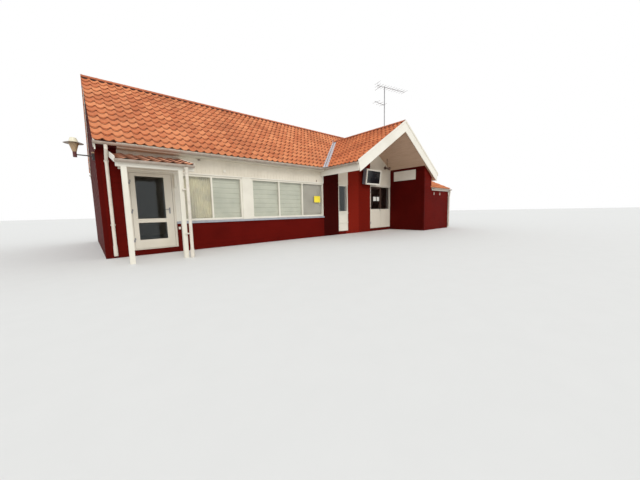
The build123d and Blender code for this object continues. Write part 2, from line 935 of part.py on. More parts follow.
def display_pieces():
    """The hanging display: its housing, front frame, glass and wall bracket."""
    half = display_width / 2
    housing = block(-half, half, -display_depth, 0, 0, display_height)
    front = -display_depth
    ring = block(-half, half, front - display_frame_depth, front, 0, display_height)
    edge = display_frame_width
    ring -= block(-half + edge, half - edge, front - display_frame_depth, front, edge, display_height - edge)
    pane = block(-half + edge, half - edge, front - display_glass, front, edge, display_height - edge)
    place = Pos(display_x, -display_gap, display_bottom) * Rot(display_tilt, 0, 0)
    housing, ring, pane = place * housing, place * ring, place * pane
    middle = display_bottom + display_height / 2
    x0 = display_x - display_bracket_width / 2
    z0 = middle - display_bracket_height / 2
    reach = block(x0, x0 + display_bracket_width, -display_gap - display_depth, 0, z0, z0 + display_bracket_height)
    behind = place * block(-half, half, 0, sky, -sky, sky)
    return housing + (reach & behind), ring, pane


def loudspeakers():
    """Two horns on either side of a driver box, on a rod from the sloping soffit."""
    rod = bar((speaker_x, speaker_y, speaker_height), (speaker_x, speaker_y, gable_ridge_height), speaker_rod)
    rod = rod & under_gable(-gable_reach, 0, gable_soffit_drop)
    half = driver_box / 2
    body = rod + Pos(speaker_x, speaker_y, speaker_height) * Box(driver_box, driver_box, driver_box)
    horn = facet_cone(horn_throat, horn_mouth, half, horn_length)
    horn -= facet_cone(horn_throat - horn_wall, horn_mouth - horn_wall, horn_length / 3, horn_length)
    for turn in (-90, 90):
        body += Pos(speaker_x, speaker_y, speaker_height) * (Rot(0, turn, 0) * horn)
    return body


def vents():
    """Two small vent hoods on the lean-to's front."""
    hoods = []
    for number in range(2):
        x = vent_first_x + number * vent_spacing
        hoods.append(block(x, x + vent_width, -wing_depth - vent_depth, -wing_depth, vent_height, vent_height + vent_tall))
    return hoods


def sign_panel():
    """The bare board on the wing's side wall."""
    y0 = -sign_near - sign_length
    return block(wing_x - sign_thickness, wing_x, y0, -sign_near, sign_bottom, sign_bottom + sign_height)


def wall_lamp():
    """The lamp on the west gable: wall box, arm, socket, cone, rim and dome."""
    half = lamp_box_width / 2
    z0 = lamp_arm_height - lamp_box_height / 2
    body = block(-lamp_box_depth, 0, lamp_y - half, lamp_y + half, z0, z0 + lamp_box_height)
    body += bar((-lamp_box_depth, lamp_y, lamp_arm_height), (-lamp_arm_length, lamp_y, lamp_arm_height), lamp_arm_radius)
    base = lamp_arm_height - lamp_socket_height / 2
    cone = lamp_socket_height
    rim = cone + lamp_cone_height
    dome = rim + lamp_rim_height
    top = dome + lamp_dome_height
    head = facet_cone(lamp_socket_radius, lamp_socket_radius, 0, cone)
    head += facet_cone(lamp_socket_radius, lamp_cone_radius, cone, rim)
    head += facet_cone(lamp_rim_radius, lamp_dome_radius, rim, dome)
    head += facet_cone(lamp_dome_radius, lamp_dome_radius * 2 / 3, dome, top)
    return body + Pos(-lamp_arm_length, lamp_y, base) * head


def antenna():
    """The mast on the cross roof with its long boom and a short lower one."""
    x = gable_ridge_x + mast_offset
    foot = gable_top(x) - gable_drop
    mast = bar((x, mast_y, foot), (x, mast_y, mast_top), mast_radius) - under_gable(-gable_reach, 0, 0)
    boom = bar((-boom_back, 0, 0), (boom_front, 0, 0), boom_radius)
    half = element_bar / 2
    step = (boom_back + boom_front - 2 * boom_radius) / (element_count - 1)
    for number in range(element_count):
        u = -boom_back + boom_radius + number * step
        boom += block(u - half, u + half, -element_length / 2, element_length / 2, -half, half)
    u = -boom_back + boom_radius
    boom += block(u - half, u + half, -half, half, -reflector_height / 2, reflector_height / 2)
    for z in (-reflector_height / 2, reflector_height / 2):
        boom += block(u - half, u + half, -element_length / 2, element_length / 2, z - half, z + half)
    mast += Pos(x, mast_y, boom_height) * (Rot(0, 0, -boom_turn) * boom)
    low = bar((-low_boom_length, 0, 0), (0, 0, 0), boom_radius)
    for share in (0.15, 0.5, 0.85):
        u = -low_boom_length * share
        low += block(u - half, u + half, -element_length / 2, element_length / 2, -half, half)
    return mast + Pos(x, mast_y, low_boom_height) * low


porch_rim = porch_top(porch_eave_y) - porch_tiles_drop - gutter_gap
space = under_roofs()
porch_leaf_left = porch_door_left + door_frame + side_gap
porch_leaf_right = porch_door_right - door_frame - lock_gap
porch_leaf_top = opening_head - door_frame - side_gap
platform_leaf_left = platform_unit_left + door_frame + side_gap
platform_leaf_right = platform_leaf_left + platform_leaf_width
platform_leaf_top = platform_unit_top - door_frame - side_gap
porch_light_left = porch_leaf_left + hinge_stile
porch_light_right = porch_leaf_right - lock_stile
porch_lights = (
    (porch_light_left, porch_light_right, mid_rail_top, porch_leaf_top - top_rail),
    (porch_light_left, porch_light_right, bottom_panel_top, mid_rail_bottom),
)
platform_lights = ((
    platform_leaf_left + platform_hinge_stile, platform_leaf_right - platform_lock_stile,
    platform_panel_top, platform_leaf_top - top_rail,
),)

os.makedirs("parts", exist_ok=True)

export("floor_slab", floor_slab())
export("west_gable_wall", west_gable_wall())
export("east_gable_wall", east_gable_wall())
export("rear_wall", rear_wall())
export("front_wall", *front_wall(space))
export("front_frieze", front_frieze(space))
export("window_piers", *window_piers())
export("recess_panels", *recess_panels(space))
export("door_bases", *door_bases())
export("wing_side_wall", wing_side_wall(space))
export("wing_front_wall", wing_front_wall(space))
export("wing_upper_walls", wing_upper_walls(space))

rear_deck = to_rear(sloping(main_top, fascia_back, ridge_y, main_tiles_drop, main_drop, 0, main_length))
rear_tiles_right = main_length + verge_reach
rear_tiles = sloping(main_top, -eave_reach, ridge_y, 0, main_tiles_drop, -verge_reach, rear_tiles_right)
front_deck = front_layer(fascia_back, main_tiles_drop, main_drop) & block(0, main_length, -sky, sky, 0, sky)
lean_deck = lean_layer(lean_fascia_y + fascia_board, lean_tiles_drop, lean_drop, main_length)
export("main_tiles_front", main_tiles_front())
export("main_tiles_rear", to_rear(rear_tiles))
export("main_deck_front", front_deck - valley_notch(0))
export("main_deck_rear", rear_deck)
export("gable_tiles_west", gable_layer(-1, 0, 0, gable_tiles_drop))
export("gable_tiles_east", gable_layer(1, 0, 0, gable_tiles_drop))
gable_deck = gable_layer(-1, deck_setback, gable_tiles_drop, gable_drop)
gable_deck += gable_layer(1, deck_setback, gable_tiles_drop, gable_drop)
export("gable_deck", gable_deck, gable_soffit(-1) + gable_soffit(1))
export("lean_tiles", lean_layer(lean_eave_y, 0, lean_tiles_drop, main_length + verge_reach))
export("low_decks", lean_deck, porch_layer(porch_beam_y, porch_tiles_drop, porch_drop))
export("porch_tiles", porch_layer(porch_eave_y, 0, porch_tiles_drop))
export("ridge_tiles", *ridge_tiles())
export("valley_flashings", valley_flashings())

front_eave = eave_boards(0, gable_left + fascia_setback) - gable_layer(-1, 0, 0, gable_drop)
export("verge_boards", *verge_boards(), *porch_verge_boards())
export("bargeboards", bargeboards())
export("gable_fascias", gable_fascia(-1, 0), gable_fascia(1, lean_clear_y()), lean_fascia())
export("eave_boards", front_eave, to_rear(eave_boards(0, main_length)))
main_gutter = gutter_along_x(main_gutter_y, main_rim, -verge_reach, gable_left - 2 * gutter_radius)
rear_gutter = to_rear(gutter_along_x(main_gutter_y, main_rim, -verge_reach, main_length + verge_reach))
west_gutter = gutter_along_y(gable_gutter_x, gable_rim, -gable_reach, -eave_reach)
east_gutter = gutter_along_y(east_gutter_x, gable_rim, -gable_reach, lean_clear_y())
lean_gutter = gutter_along_x(lean_gutter_y, lean_rim, cheek_x, main_length + verge_reach)
porch_gutter = gutter_along_x(porch_gutter_y, porch_rim, porch_roof_left, porch_roof_right - porch_verge_board)
export("gutters", main_gutter, rear_gutter, west_gutter, east_gutter, lean_gutter, porch_gutter)
west_pipe = neck_pipe(west_pipe_x, main_gutter_y, main_rim, 0, clip_heights)
east_pipe = neck_pipe(main_length - west_pipe_x, main_gutter_y, main_rim, 0, clip_heights)
lean_pipe = neck_pipe(lean_pipe_x, lean_gutter_y, lean_rim, -wing_depth, low_clip_heights)
export("downpipes", west_pipe, porch_pipe(), lean_pipe, to_rear(west_pipe), to_rear(east_pipe))

frames = [window_strip(*strip) for strip in front_strips]
frames += [to_rear(window_strip(*strip)) for strip in rear_strips]
export("window_frames", *frames)
panes = [pane for strip in front_strips for pane in window_panes(*strip)]
panes += [to_rear(pane) for strip in rear_strips for pane in window_panes(*strip)]
export("window_glass", *panes, *fixed_lights())
blinds = [sheet for strip in front_strips for sheet in window_sheets(*strip)]
blinds += [to_rear(sheet) for strip in rear_strips for sheet in window_sheets(*strip)]
export("window_blinds", *blinds)
rear_sills = [to_rear(sill(left, left + span)) for left, span, panes in rear_strips]
export("window_sills", sill(porch_door_right, second_strip_right), *rear_sills)
export("side_light_frame", side_light())

export("porch_door_frame", door_frame_ring(porch_door_left, porch_door_width, opening_head))
export("porch_door_leaf", door_leaf(porch_leaf_left, porch_leaf_right, porch_leaf_top, porch_lights))
export("porch_door_glass", *leaf_glass(porch_lights))
export("porch_door_hinges", *hinge_halves(porch_door_left, porch_leaf_top, 1))
export("porch_door_handle", *lever_set(porch_leaf_right - lock_stile / 2, handle_height, -1))
export("platform_door_frame", platform_frame())
export("platform_door_leaf", door_leaf(platform_leaf_left, platform_leaf_right, platform_leaf_top, platform_lights))
export("platform_door_glass", *leaf_glass(platform_lights))
export("platform_door_hinges", *hinge_halves(platform_unit_left, platform_leaf_top, 1))
export("platform_door_handle", *lever_set(
    platform_leaf_right - platform_lock_stile / 2, platform_handle_height, -1,
))
fixed_halves = hinge_halves(porch_door_left, porch_leaf_top, -1)
fixed_halves += hinge_halves(platform_unit_left, platform_leaf_top, -1)
export("fixed_hinges", *fixed_halves)

export("porch_posts", *porch_posts())
export("porch_beam", porch_beam())

housing, ring, pane = display_pieces()
export("display_housing", housing)
export("display_front", ring)
export("display_glass", pane)
export("sign_panel", sign_panel())
export("loudspeakers", loudspeakers())
export("vents", *vents())
export("wall_lamp", wall_lamp())
export("antenna", antenna())
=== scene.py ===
# %% [markdown]
# # A small railway station, dressed around its CAD model
#
# The CAD model gives every wall, opening, roof slab and door its true place. This notebook
# adds what the eye looks for: clay pantiles, boards, blinds, brackets and painted surfaces.
# Everything is in metres. X runs along the front, Y goes into the building, Z is up.

# %% Load the frame
import json
import random
from math import atan2, ceil, cos, degrees, floor, pi, radians, sin, tan

import bmesh
import bpy
from mathutils import Matrix, Vector


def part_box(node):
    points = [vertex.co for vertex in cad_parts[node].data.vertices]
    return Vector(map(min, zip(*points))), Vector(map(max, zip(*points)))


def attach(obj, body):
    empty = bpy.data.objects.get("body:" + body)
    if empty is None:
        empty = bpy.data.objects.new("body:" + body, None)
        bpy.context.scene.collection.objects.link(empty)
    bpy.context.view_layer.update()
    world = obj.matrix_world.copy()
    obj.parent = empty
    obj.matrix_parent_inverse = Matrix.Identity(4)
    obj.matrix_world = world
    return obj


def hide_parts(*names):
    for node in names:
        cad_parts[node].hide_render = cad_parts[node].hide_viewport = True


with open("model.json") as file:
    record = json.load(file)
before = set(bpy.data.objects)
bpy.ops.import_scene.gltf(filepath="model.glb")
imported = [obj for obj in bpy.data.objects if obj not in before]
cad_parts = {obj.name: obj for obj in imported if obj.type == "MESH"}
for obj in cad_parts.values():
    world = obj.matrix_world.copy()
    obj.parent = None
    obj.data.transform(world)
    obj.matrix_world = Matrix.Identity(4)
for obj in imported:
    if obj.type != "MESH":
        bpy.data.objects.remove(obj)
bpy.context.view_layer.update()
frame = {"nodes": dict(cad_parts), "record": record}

scene = bpy.context.scene
scene.view_settings.view_transform = "Standard"
chance = random.Random(7)

# %% [markdown]
# ## The camera
#
# The photograph was taken from in front of the left corner, looking along the building, with
# a wide lens. A camera is set up from its heading, its downward tilt and its roll. The three
# directions right, up and backward make the columns of its matrix.

# %% Camera
picture_width = 640
focal_pixels = 263.54
camera_place = Vector((-0.30, -8.65, 1.105))
heading = radians(41.3)
tilt = radians(6.251)
roll = radians(1.236)

ahead = Vector((sin(heading) * cos(tilt), cos(heading) * cos(tilt), -sin(tilt)))
level = Vector((cos(heading), -sin(heading), 0))
down = ahead.cross(level)
right = level * cos(roll) + down * sin(roll)
lower = down * cos(roll) - level * sin(roll)
turned = Matrix((right, -lower, -ahead)).transposed().to_4x4()

camera = bpy.data.objects.new("camera", bpy.data.cameras.new("camera"))
camera.data.sensor_width = 36
camera.data.lens = camera.data.sensor_width * focal_pixels / picture_width
camera.data.clip_end = 500
camera.matrix_world = Matrix.Translation(camera_place) @ turned
scene.collection.objects.link(camera)
scene.camera = camera
print("lens", round(camera.data.lens, 2), "mm")

# %% [markdown]
# ## Writing materials as arithmetic
#
# A material is a small tree of nodes. Wired by hand, even a simple formula takes many lines.
# So one class wraps a socket, and adding or multiplying two of them adds the Math node that
# does it. A second class holds the tree and adds any other node.

# %% Shader arithmetic
def by_node(operation, swapped=False):
    """An operator that adds a Math node; swapped gives its reflected form."""

    def operator(self, other):
        first, second = (other, self) if swapped else (self, other)
        return self.math(operation, first, second)

    return operator


class Value:
    """A socket of a node tree; arithmetic on it adds Math nodes."""

    __add__, __radd__ = by_node("ADD"), by_node("ADD", True)
    __sub__, __rsub__ = by_node("SUBTRACT"), by_node("SUBTRACT", True)
    __mul__, __rmul__ = by_node("MULTIPLY"), by_node("MULTIPLY", True)
    __truediv__ = by_node("DIVIDE")
    __gt__, __lt__ = by_node("GREATER_THAN"), by_node("LESS_THAN")

    def __init__(self, shader, socket):
        self.shader = shader
        self.socket = socket

    def math(self, operation, first, second=0.0):
        return self.shader.node("Math", {0: first, 1: second}, operation=operation)

    def fraction(self):
        return self.math("FRACT", self)

    def root(self):
        return self.math("SQRT", self)

    def at_most(self, limit):
        return self.math("MINIMUM", self, limit)

    def ramp(self, start, end):
        """0 below start, 1 above end and smooth between them."""
        inputs = {0: self, 1: start, 2: end}
        return self.shader.node("MapRange", inputs, interpolation_type="SMOOTHSTEP")

    def mix(self, low, high):
        """The colour low where this is 0 and high where it is 1."""
        return self.shader.node("Mix", {0: self, 6: low, 7: high}, 2, data_type="RGBA")


class Shader:
    """One node tree and the method that adds a node to it."""

    def __init__(self, tree):
        self.tree = tree
        tree.nodes.clear()

    def node(self, kind, inputs=None, output=0, **settings):
        """Adds a node, sets it up, wires or fills its inputs and returns one output."""
        made = self.tree.nodes.new("ShaderNode" + kind)
        for key, value in settings.items():
            setattr(made, key, value)
        for key, value in (inputs or {}).items():
            if isinstance(value, Value):
                self.tree.links.new(value.socket, made.inputs[key])
            else:
                made.inputs[key].default_value = value
        return Value(self, made.outputs[output]) if made.outputs else None

    def place(self):
        """The x, y and z of a point in the building's own axes."""
        point = self.node("TexCoord", output="Object")
        return [self.node("SeparateXYZ", {0: point}, axis) for axis in "XYZ"]

    def noise(self, scale, stretch=(1, 1, 1), detail=3.0, roughness=0.55):
        """Noise from 0 to 1 in the building's own axes, stretched along some of them."""
        point = self.node("TexCoord", output="Object")
        scaled = self.node("VectorMath", {0: point, 1: stretch}, operation="MULTIPLY")
        inputs = {"Vector": scaled, "Scale": scale, "Detail": detail, "Roughness": roughness}
        return self.node("TexNoise", inputs)


print("shader helpers ready")

# %% [markdown]
# ## From formula to material
#
# Colours are written as they look on a screen, 0 to 255, and turned into the linear values
# that Blender computes with. The helper below finishes each material: a colour, a roughness
# and a height that becomes a bump.

# %% Material helper
def screen(red, green, blue):
    """A screen colour as linear red, green, blue and alpha."""
    return tuple(
        (part / 255 / 12.92) if part / 255 <= 0.04045 else ((part / 255 + 0.055) / 1.055) ** 2.4
        for part in (red, green, blue)
    ) + (1.0,)


def material(name):
    """A new, empty material and the shader that writes its nodes."""
    made = bpy.data.materials.new(name)
    made.use_nodes = True
    return made, Shader(made.node_tree)


def finish_surface(shader, colour, roughness, height=None, bump=0.3, distance=0.002, **constants):
    """Wires the surface; constants are set on the shader's own sockets."""
    inputs = {"Base Color": colour, "Roughness": roughness}
    inputs.update({key.replace("_", " "): value for key, value in constants.items()})
    if height is not None:
        relief = {"Strength": bump, "Distance": distance, "Height": height}
        inputs["Normal"] = shader.node("Bump", relief)
    surface = shader.node("BsdfPrincipled", inputs)
    shader.node("OutputMaterial", {"Surface": surface})


print("middle grey is", round(screen(128, 128, 128)[0], 3))

# %% [markdown]
# ## Painted boards
#
# The walls are timber boards under old oil paint. The grain runs along each board, the paint
# is a little uneven, rain splash wears the lowest 35 cm, and the side that faces the rooms
# is pale plaster. A paint can also have fields of another colour on the front, each between
# two places along X.

# %% Board paints
splash_top = 0.35
inside_from = 0.2
inside_to_x = 15.3
inside_to_y = 6.1
plaster = screen(196, 190, 178)


def board_paint(name, paint, worn, grain, plastered=False, rough=0.62, sheen=0.12, fields=()):
    """Paint on boards whose grain is stretched by the three factors of grain."""
    made, shader = material(name)
    x, y, z = shader.place()
    patches = shader.noise(1.1, detail=4.0).ramp(0.35, 0.75)
    fibres = shader.noise(38.0, grain, 4.0, 0.7)
    worn = screen(*worn)
    colour = (patches * 0.55).mix(screen(*paint), worn)
    colour = (fibres.ramp(0.5, 0.85) * 0.28).mix(colour, worn)
    # On the red front these fields are painted shade and painted sunlight; at the eave's west end, red
    # paint.
    for from_x, to_x, share, other in fields:
        field = (x > from_x) * (x < to_x) * (y < inside_from)
        colour = (field * share).mix(colour, screen(*other))
    splash = (1 - z.ramp(0.0, splash_top)) * shader.noise(6.0).ramp(0.3, 0.7)
    colour = (splash * 0.25).mix(colour, worn)
    if plastered:
        inner = (y > inside_from) * (y < inside_to_y) * (x > inside_from) * (x < inside_to_x)
        colour = inner.mix(colour, plaster)
    rough_map = shader.noise(9.0).ramp(0.2, 0.8) * 0.16 + (rough - 0.08)
    finish_surface(shader, colour, rough_map, fibres, 0.35, 0.0015, Specular_IOR_Level=sheen)
    return made


along_x = (0.06, 1, 1)
along_y = (1, 0.06, 1)
upright = (1, 1, 0.06)
print("grain is drawn out", round(1 / along_x[0]), "times")

# %% [markdown]
# ## The paints of this building
#
# Dark reds keep their depth only with very little sheen, because a pale sky lies on them like
# a veil. Left of the side light the wall is darkened with painted shade, right of it lightened
# with painted sunlight, and the eave's west end is red paint.

# %% Red, cream and white
frieze_low, frieze_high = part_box("front_frieze")
light_low, light_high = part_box("side_light_frame")
unit_low, unit_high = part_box("platform_door_frame")
# Painted shade darkens the red front between the frieze and the side light; painted sunlight lightens it
# from 8.97 m to 9.9 m, and by half on to the platform door.
sunlit_from, sunlit_to, west_end = 8.97, 9.9, -0.2
shaded_red, sunlit_red, eave_red = (24, 2, 1), (128, 32, 20), (70, 12, 8)
red_fields = (
    (frieze_high.x, light_low.x, 0.7, shaded_red),
    (sunlit_from, sunlit_to, 1.0, sunlit_red),
    (sunlit_to, unit_low.x, 0.5, sunlit_red),
)
eave_fields = ((west_end, frieze_low.x, 1.0, eave_red),)
deep = 0.03
pale_paint, pale_worn = (222, 214, 198), (204, 195, 178)

red_x = board_paint("red_boards_x", (96, 16, 10), (76, 11, 7), along_x, sheen=deep, fields=red_fields)
red_y = board_paint("red_boards_y", (84, 14, 10), (66, 10, 7), along_y, sheen=deep)
red_wall = board_paint("red_wall", (90, 16, 10), (72, 11, 7), along_x, True, sheen=deep)
cream_upright = board_paint("cream_boards", (226, 217, 200), (206, 196, 178), upright)
cream_wall = board_paint("cream_wall", (224, 215, 198), (204, 194, 176), upright, True)
white_x = board_paint("white_boards", (234, 229, 217), (216, 209, 194), along_x)
white_upright = board_paint("white_upright", (232, 227, 213), (212, 205, 190), upright)
eave_paint = board_paint("eave_paint", (214, 206, 190), (196, 187, 170), along_x, fields=eave_fields)
door_paint = board_paint("door_paint", pale_paint, pale_worn, upright, rough=0.5)
print("board paints:", len(bpy.data.materials))

# %% [markdown]
# ## Clay tiles
#
# Pantiles are unglazed, fired clay. No two have quite the same colour, so every tile carries
# a number of its own, kept on its faces as an attribute. The material reads it, then adds
# weathering in patches, fine grit and a painted shade line below the end of each course.

# %% Clay
front_tones = ((226, 148, 102), (202, 120, 80), (160, 92, 62))
cross_tones = ((218, 134, 88), (188, 104, 66), (138, 74, 48))
porch_tones = ((236, 166, 128), (180, 120, 94), (124, 94, 76))
ridge_tones = ((188, 112, 80), (164, 90, 64), (118, 64, 46))
# The colour of the painted shade under the end of each course of tiles.
tile_shade_colour = screen(58, 26, 20)


def clay(name, tones, axis=1, start=0.0, step=1.0, darkening=0.0):
    """Fired clay, with painted shade below and on the end of every tile, a step apart along an axis."""
    light, dark, patch = (screen(*tone) for tone in tones)
    made, shader = material(name)
    tile = shader.node("Attribute", output="Fac", attribute_name="tile_tone")
    grit = shader.noise(60.0, detail=5.0, roughness=0.7)
    weather = shader.noise(0.9, detail=5.0).ramp(0.42, 0.72)
    colour = tile.mix(light, dark)
    colour = (weather * 0.42).mix(colour, patch)
    colour = (grit.ramp(0.45, 0.8) * 0.25).mix(colour, patch)
    # Painted shade: the band just below the end of each course, and the end itself, turn toward a dark
    # shade colour.
    share = ((shader.place()[axis] - start) / step).fraction()
    course_shade = share.ramp(0.78, 0.96) + (1 - share.ramp(0.0, 0.06))
    colour = (course_shade.at_most(1.0) * darkening).mix(colour, tile_shade_colour)
    rough_map = grit * 0.2 + 0.72
    finish_surface(shader, colour, rough_map, grit, 0.4, 0.002, Specular_IOR_Level=0.15)
    return made


plain_clay = clay("ridge_clay", ridge_tones)
print("clay:", plain_clay.name)

# %% [markdown]
# ## Metal, card and other smooth skins
#
# Gutters, sills, valley sheets and housings are thin metal, painted or bare, under a dull
# streaky film with fine specks. The same recipe, with another roughness, serves the dark glass
# of the display, the mortar and the papers on the glass.

# %% Smooth finishes
def smooth(name, paint, worn, rough, metallic=0.0, scale=7.0):
    """A smooth surface with a streaky film."""
    made, shader = material(name)
    film = shader.noise(scale, detail=4.0)
    speck = shader.noise(90.0, detail=2.0)
    colour = (film.ramp(0.35, 0.75) * 0.6).mix(screen(*paint), screen(*worn))
    finish_surface(shader, colour, film * 0.2 + (rough - 0.1), speck, 0.12, 0.0008, Metallic=metallic)
    return made


gutter_paint = smooth("gutter_paint", (178, 164, 150), (140, 124, 110), 0.5)
sheet_steel = smooth("sheet_steel", (168, 170, 178), (140, 142, 150), 0.42, 0.35)
valley_metal = smooth("valley_metal", (196, 194, 200), (168, 166, 172), 0.5, 0.1)
pipe_paint = smooth("pipe_paint", (222, 214, 200), (198, 188, 174), 0.5)
vent_paint = smooth("vent_paint", (186, 166, 152), (150, 128, 114), 0.6)
handle_steel = smooth("handle_steel", (150, 150, 152), (112, 112, 114), 0.32, 0.8, 30.0)
grey_paint = smooth("grey_paint", (126, 128, 136), (104, 106, 114), 0.5)
speaker_paint = smooth("speaker_paint", (112, 88, 74), (86, 64, 54), 0.55)
antenna_metal = smooth("antenna_metal", (150, 150, 152), (118, 118, 120), 0.45, 0.6)
dark_glass = smooth("dark_glass", (22, 25, 28), (34, 38, 42), 0.16, 0.0, 2.0)
# The mortar is coloured dark as painted shade: it stands for the shadow line under the ridge cappings.
shaded_mortar = smooth("shaded_mortar", (70, 44, 36), (52, 32, 26), 0.85, 0.0, 12.0)
paper = smooth("paper", (226, 224, 216), (208, 205, 196), 0.85, 0.0, 5.0)
yellow_card = smooth("yellow_card", (250, 228, 66), (236, 210, 54), 0.8, 0.0, 5.0)
print("finishes so far:", len(bpy.data.materials))

# %% [markdown]
# ## Stained boards, concrete and the two-tone door
#
# The boards under the roofs have a thin brown stain over their grain, and the floor is smooth
# concrete with fine pores. The platform door's unit is pale below a height and has slim dark
# stiles above it. As both are one CAD node, the material tells them apart by place.

# %% Stain, concrete and door
brown_boards, shader = material("brown_boards")
fibres = shader.noise(30.0, along_y, 5.0, 0.7)
stain, dark_stain = screen(204, 174, 148), screen(180, 148, 122)
colour = fibres.ramp(0.35, 0.8).mix(stain, dark_stain)
colour = (shader.noise(1.4).ramp(0.3, 0.8) * 0.3).mix(colour, dark_stain)
finish_surface(shader, colour, fibres * 0.15 + 0.6, fibres, 0.25, 0.001)

floor_concrete, shader = material("floor_concrete")
cloud = shader.noise(1.6, detail=6.0)
pores = shader.noise(70.0, detail=3.0)
colour = cloud.ramp(0.3, 0.7).mix(screen(160, 156, 148), screen(134, 130, 123))
finish_surface(shader, colour, pores * 0.2 + 0.7, pores, 0.3, 0.001)

door_side, door_head, panel_top = 0.07, 0.065, 1.15
platform_paint, shader = material("platform_paint")
x, y, z = shader.place()
inner = (x > unit_low.x + door_side) * (x < unit_high.x - door_side)
inner = inner * (z > panel_top) * (z < unit_high.z - door_head)
streaks = shader.noise(30.0, upright, 4.0, 0.7)
pale = (streaks.ramp(0.4, 0.8) * 0.4).mix(screen(*pale_paint), screen(*pale_worn))
colour = inner.mix(pale, screen(66, 48, 38))
finish_surface(shader, colour, streaks * 0.1 + 0.45, streaks, 0.25, 0.001)
print("platform door pale up to", panel_top)

# %% [markdown]
# ## Window glass
#
# A pane is thin and clear, so it is see-through with a share of mirror, which grows at a slant
# as Fresnel gives it. Only faces seen from their front reflect: behind them, Fresnel counts as
# if the light left solid glass, and at a slant that would mirror everything.

# %% Glass
least_mirror = 0.01
mirror_gain = 1.25
pane_glass, shader = material("pane_glass")
haze = shader.noise(3.0, detail=2.0) * 0.04 + 0.03
mirror = {"Base Color": screen(222, 230, 232), "Roughness": haze, "Metallic": 1.0}
gloss = shader.node("BsdfPrincipled", mirror)
clear = shader.node("BsdfTransparent", {"Color": screen(255, 255, 255)})
slant = shader.node("Fresnel", {"IOR": 1.5})
front = 1 - shader.node("NewGeometry", output="Backfacing")
mirrored = ((slant * mirror_gain + least_mirror) * front).at_most(1.0)
joined = shader.node("MixShader", {0: mirrored, 1: clear, 2: gloss})
shader.node("OutputMaterial", {"Surface": joined})
print("glass:", pane_glass.name)

# %% [markdown]
# ## Cloth
#
# The blinds are grey-green, the curtain is a warm cream and the last pane has a grey blind.
# Two stripe patterns multiplied make a fine square weave, which only the bump needs.

# %% Cloth finishes
def cloth(name, thread, shade, weave):
    """Woven blind cloth; weave is the number of threads in a metre."""
    made, shader = material(name)
    x, y, z = shader.place()
    threads = ((x * weave).fraction() - 0.5) * ((z * weave).fraction() - 0.5) * 4
    broad = shader.noise(2.2)
    colour = broad.ramp(0.3, 0.75).mix(screen(*thread), screen(*shade))
    finish_surface(shader, colour, broad * 0.1 + 0.8, threads, 0.15, 0.0005)
    return made


blind_cloth = cloth("blind_cloth", (190, 190, 172), (176, 177, 160), 500)
curtain_cloth = cloth("curtain_cloth", (206, 198, 166), (178, 172, 152), 400)
grey_cloth = cloth("grey_cloth", (166, 160, 146), (154, 148, 134), 500)
print("cloths:", blind_cloth.name, curtain_cloth.name, grey_cloth.name)

# %% [markdown]
# ## The lamp's enamel
#
# The lamp is one CAD piece with several finishes, so its material picks the colour by place:
# a dark wall box and arm, a dark red socket, a brownish bowl, a brown rim and a pale dome.

# %% Lamp finish
head_in, socket_radius = 0.19, 0.041
arm_drop, socket_drop, rim_foot, bowl_drop, rim_top = 0.335, 0.325, 0.136, 0.13, 0.104
lamp_enamel, shader = material("lamp_enamel")
x, y, z = shader.place()
low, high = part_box("wall_lamp")
off_x = x - (low.x + head_in)
off_y = y - (low.y + high.y) / 2
reach = (off_x * off_x + off_y * off_y).root()
darkening = shader.noise(14.0)
milk = (darkening.ramp(0.3, 0.8) * 0.5).mix(screen(232, 226, 202), screen(204, 194, 166))
milk = (z < high.z - bowl_drop).mix(milk, screen(170, 142, 108))
colour = (z > high.z - socket_drop).mix(screen(84, 30, 24), milk)
rim = (z > high.z - rim_foot) * (z < high.z - rim_top)
colour = rim.mix(colour, screen(128, 108, 86))
arm = (z < high.z - arm_drop) * (reach > socket_radius)
colour = arm.mix(colour, screen(34, 24, 22))
finish_surface(shader, colour, darkening * 0.2 + 0.3, darkening, 0.1, 0.001)
print("lamp from", [round(v, 2) for v in low])

# %% [markdown]
# ## Finishes for the CAD nodes
#
# The CAD pieces that already have the right shape stay. Each gets the finish of its material
# slot in the record, apart from a few nodes that need one of their own.

# %% Paint the CAD nodes
slot_finishes = {
    "red_boards": red_wall, "cream_boards": cream_wall, "door_paint": door_paint,
    "white_boards": white_x, "clay_tiles": plain_clay, "deck_boards": brown_boards,
    "gutter_metal": gutter_paint, "sheet_metal": sheet_steel, "concrete": floor_concrete,
    "window_glass": pane_glass, "blind_cloth": blind_cloth, "door_metal": handle_steel,
    "grey_housing": grey_paint, "display_glass": dark_glass, "antenna_metal": antenna_metal,
    "lamp_paint": lamp_enamel,
}
node_finishes = {
    "window_piers": white_upright, "window_frames": white_upright, "porch_posts": white_upright,
    "side_light_frame": white_upright, "eave_boards": eave_paint, "vents": vent_paint,
    "porch_door_frame": door_paint, "platform_door_frame": platform_paint,
    "platform_door_leaf": platform_paint, "downpipes": pipe_paint, "loudspeakers": speaker_paint,
}
parts = frame["record"]["subparts"]
for part in parts:
    painted = frame["nodes"][part["node"]].data.materials
    painted.clear()
    painted.append(node_finishes.get(part["node"], slot_finishes[part["material_slot"]]))
print("painted", len(parts), "of", len(frame["nodes"]), "nodes")

# %% [markdown]
# ## Making pieces
#
# Most added pieces are bars, boards or tiles: a flat outline pushed along a line, copied side
# by side, and cut to fit the building. A few short helpers do that. The cut closes what it
# opens, so every piece stays a solid.

# %% Mesh helpers
def prism(bm, outline, push):
    """A solid from a flat outline of points, pushed along one vector."""
    face = bm.faces.new([bm.verts.new(point) for point in outline])
    made = bmesh.ops.extrude_face_region(bm, geom=[face])
    moved = [item for item in made["geom"] if isinstance(item, bmesh.types.BMVert)]
    bmesh.ops.translate(bm, verts=moved, vec=push)


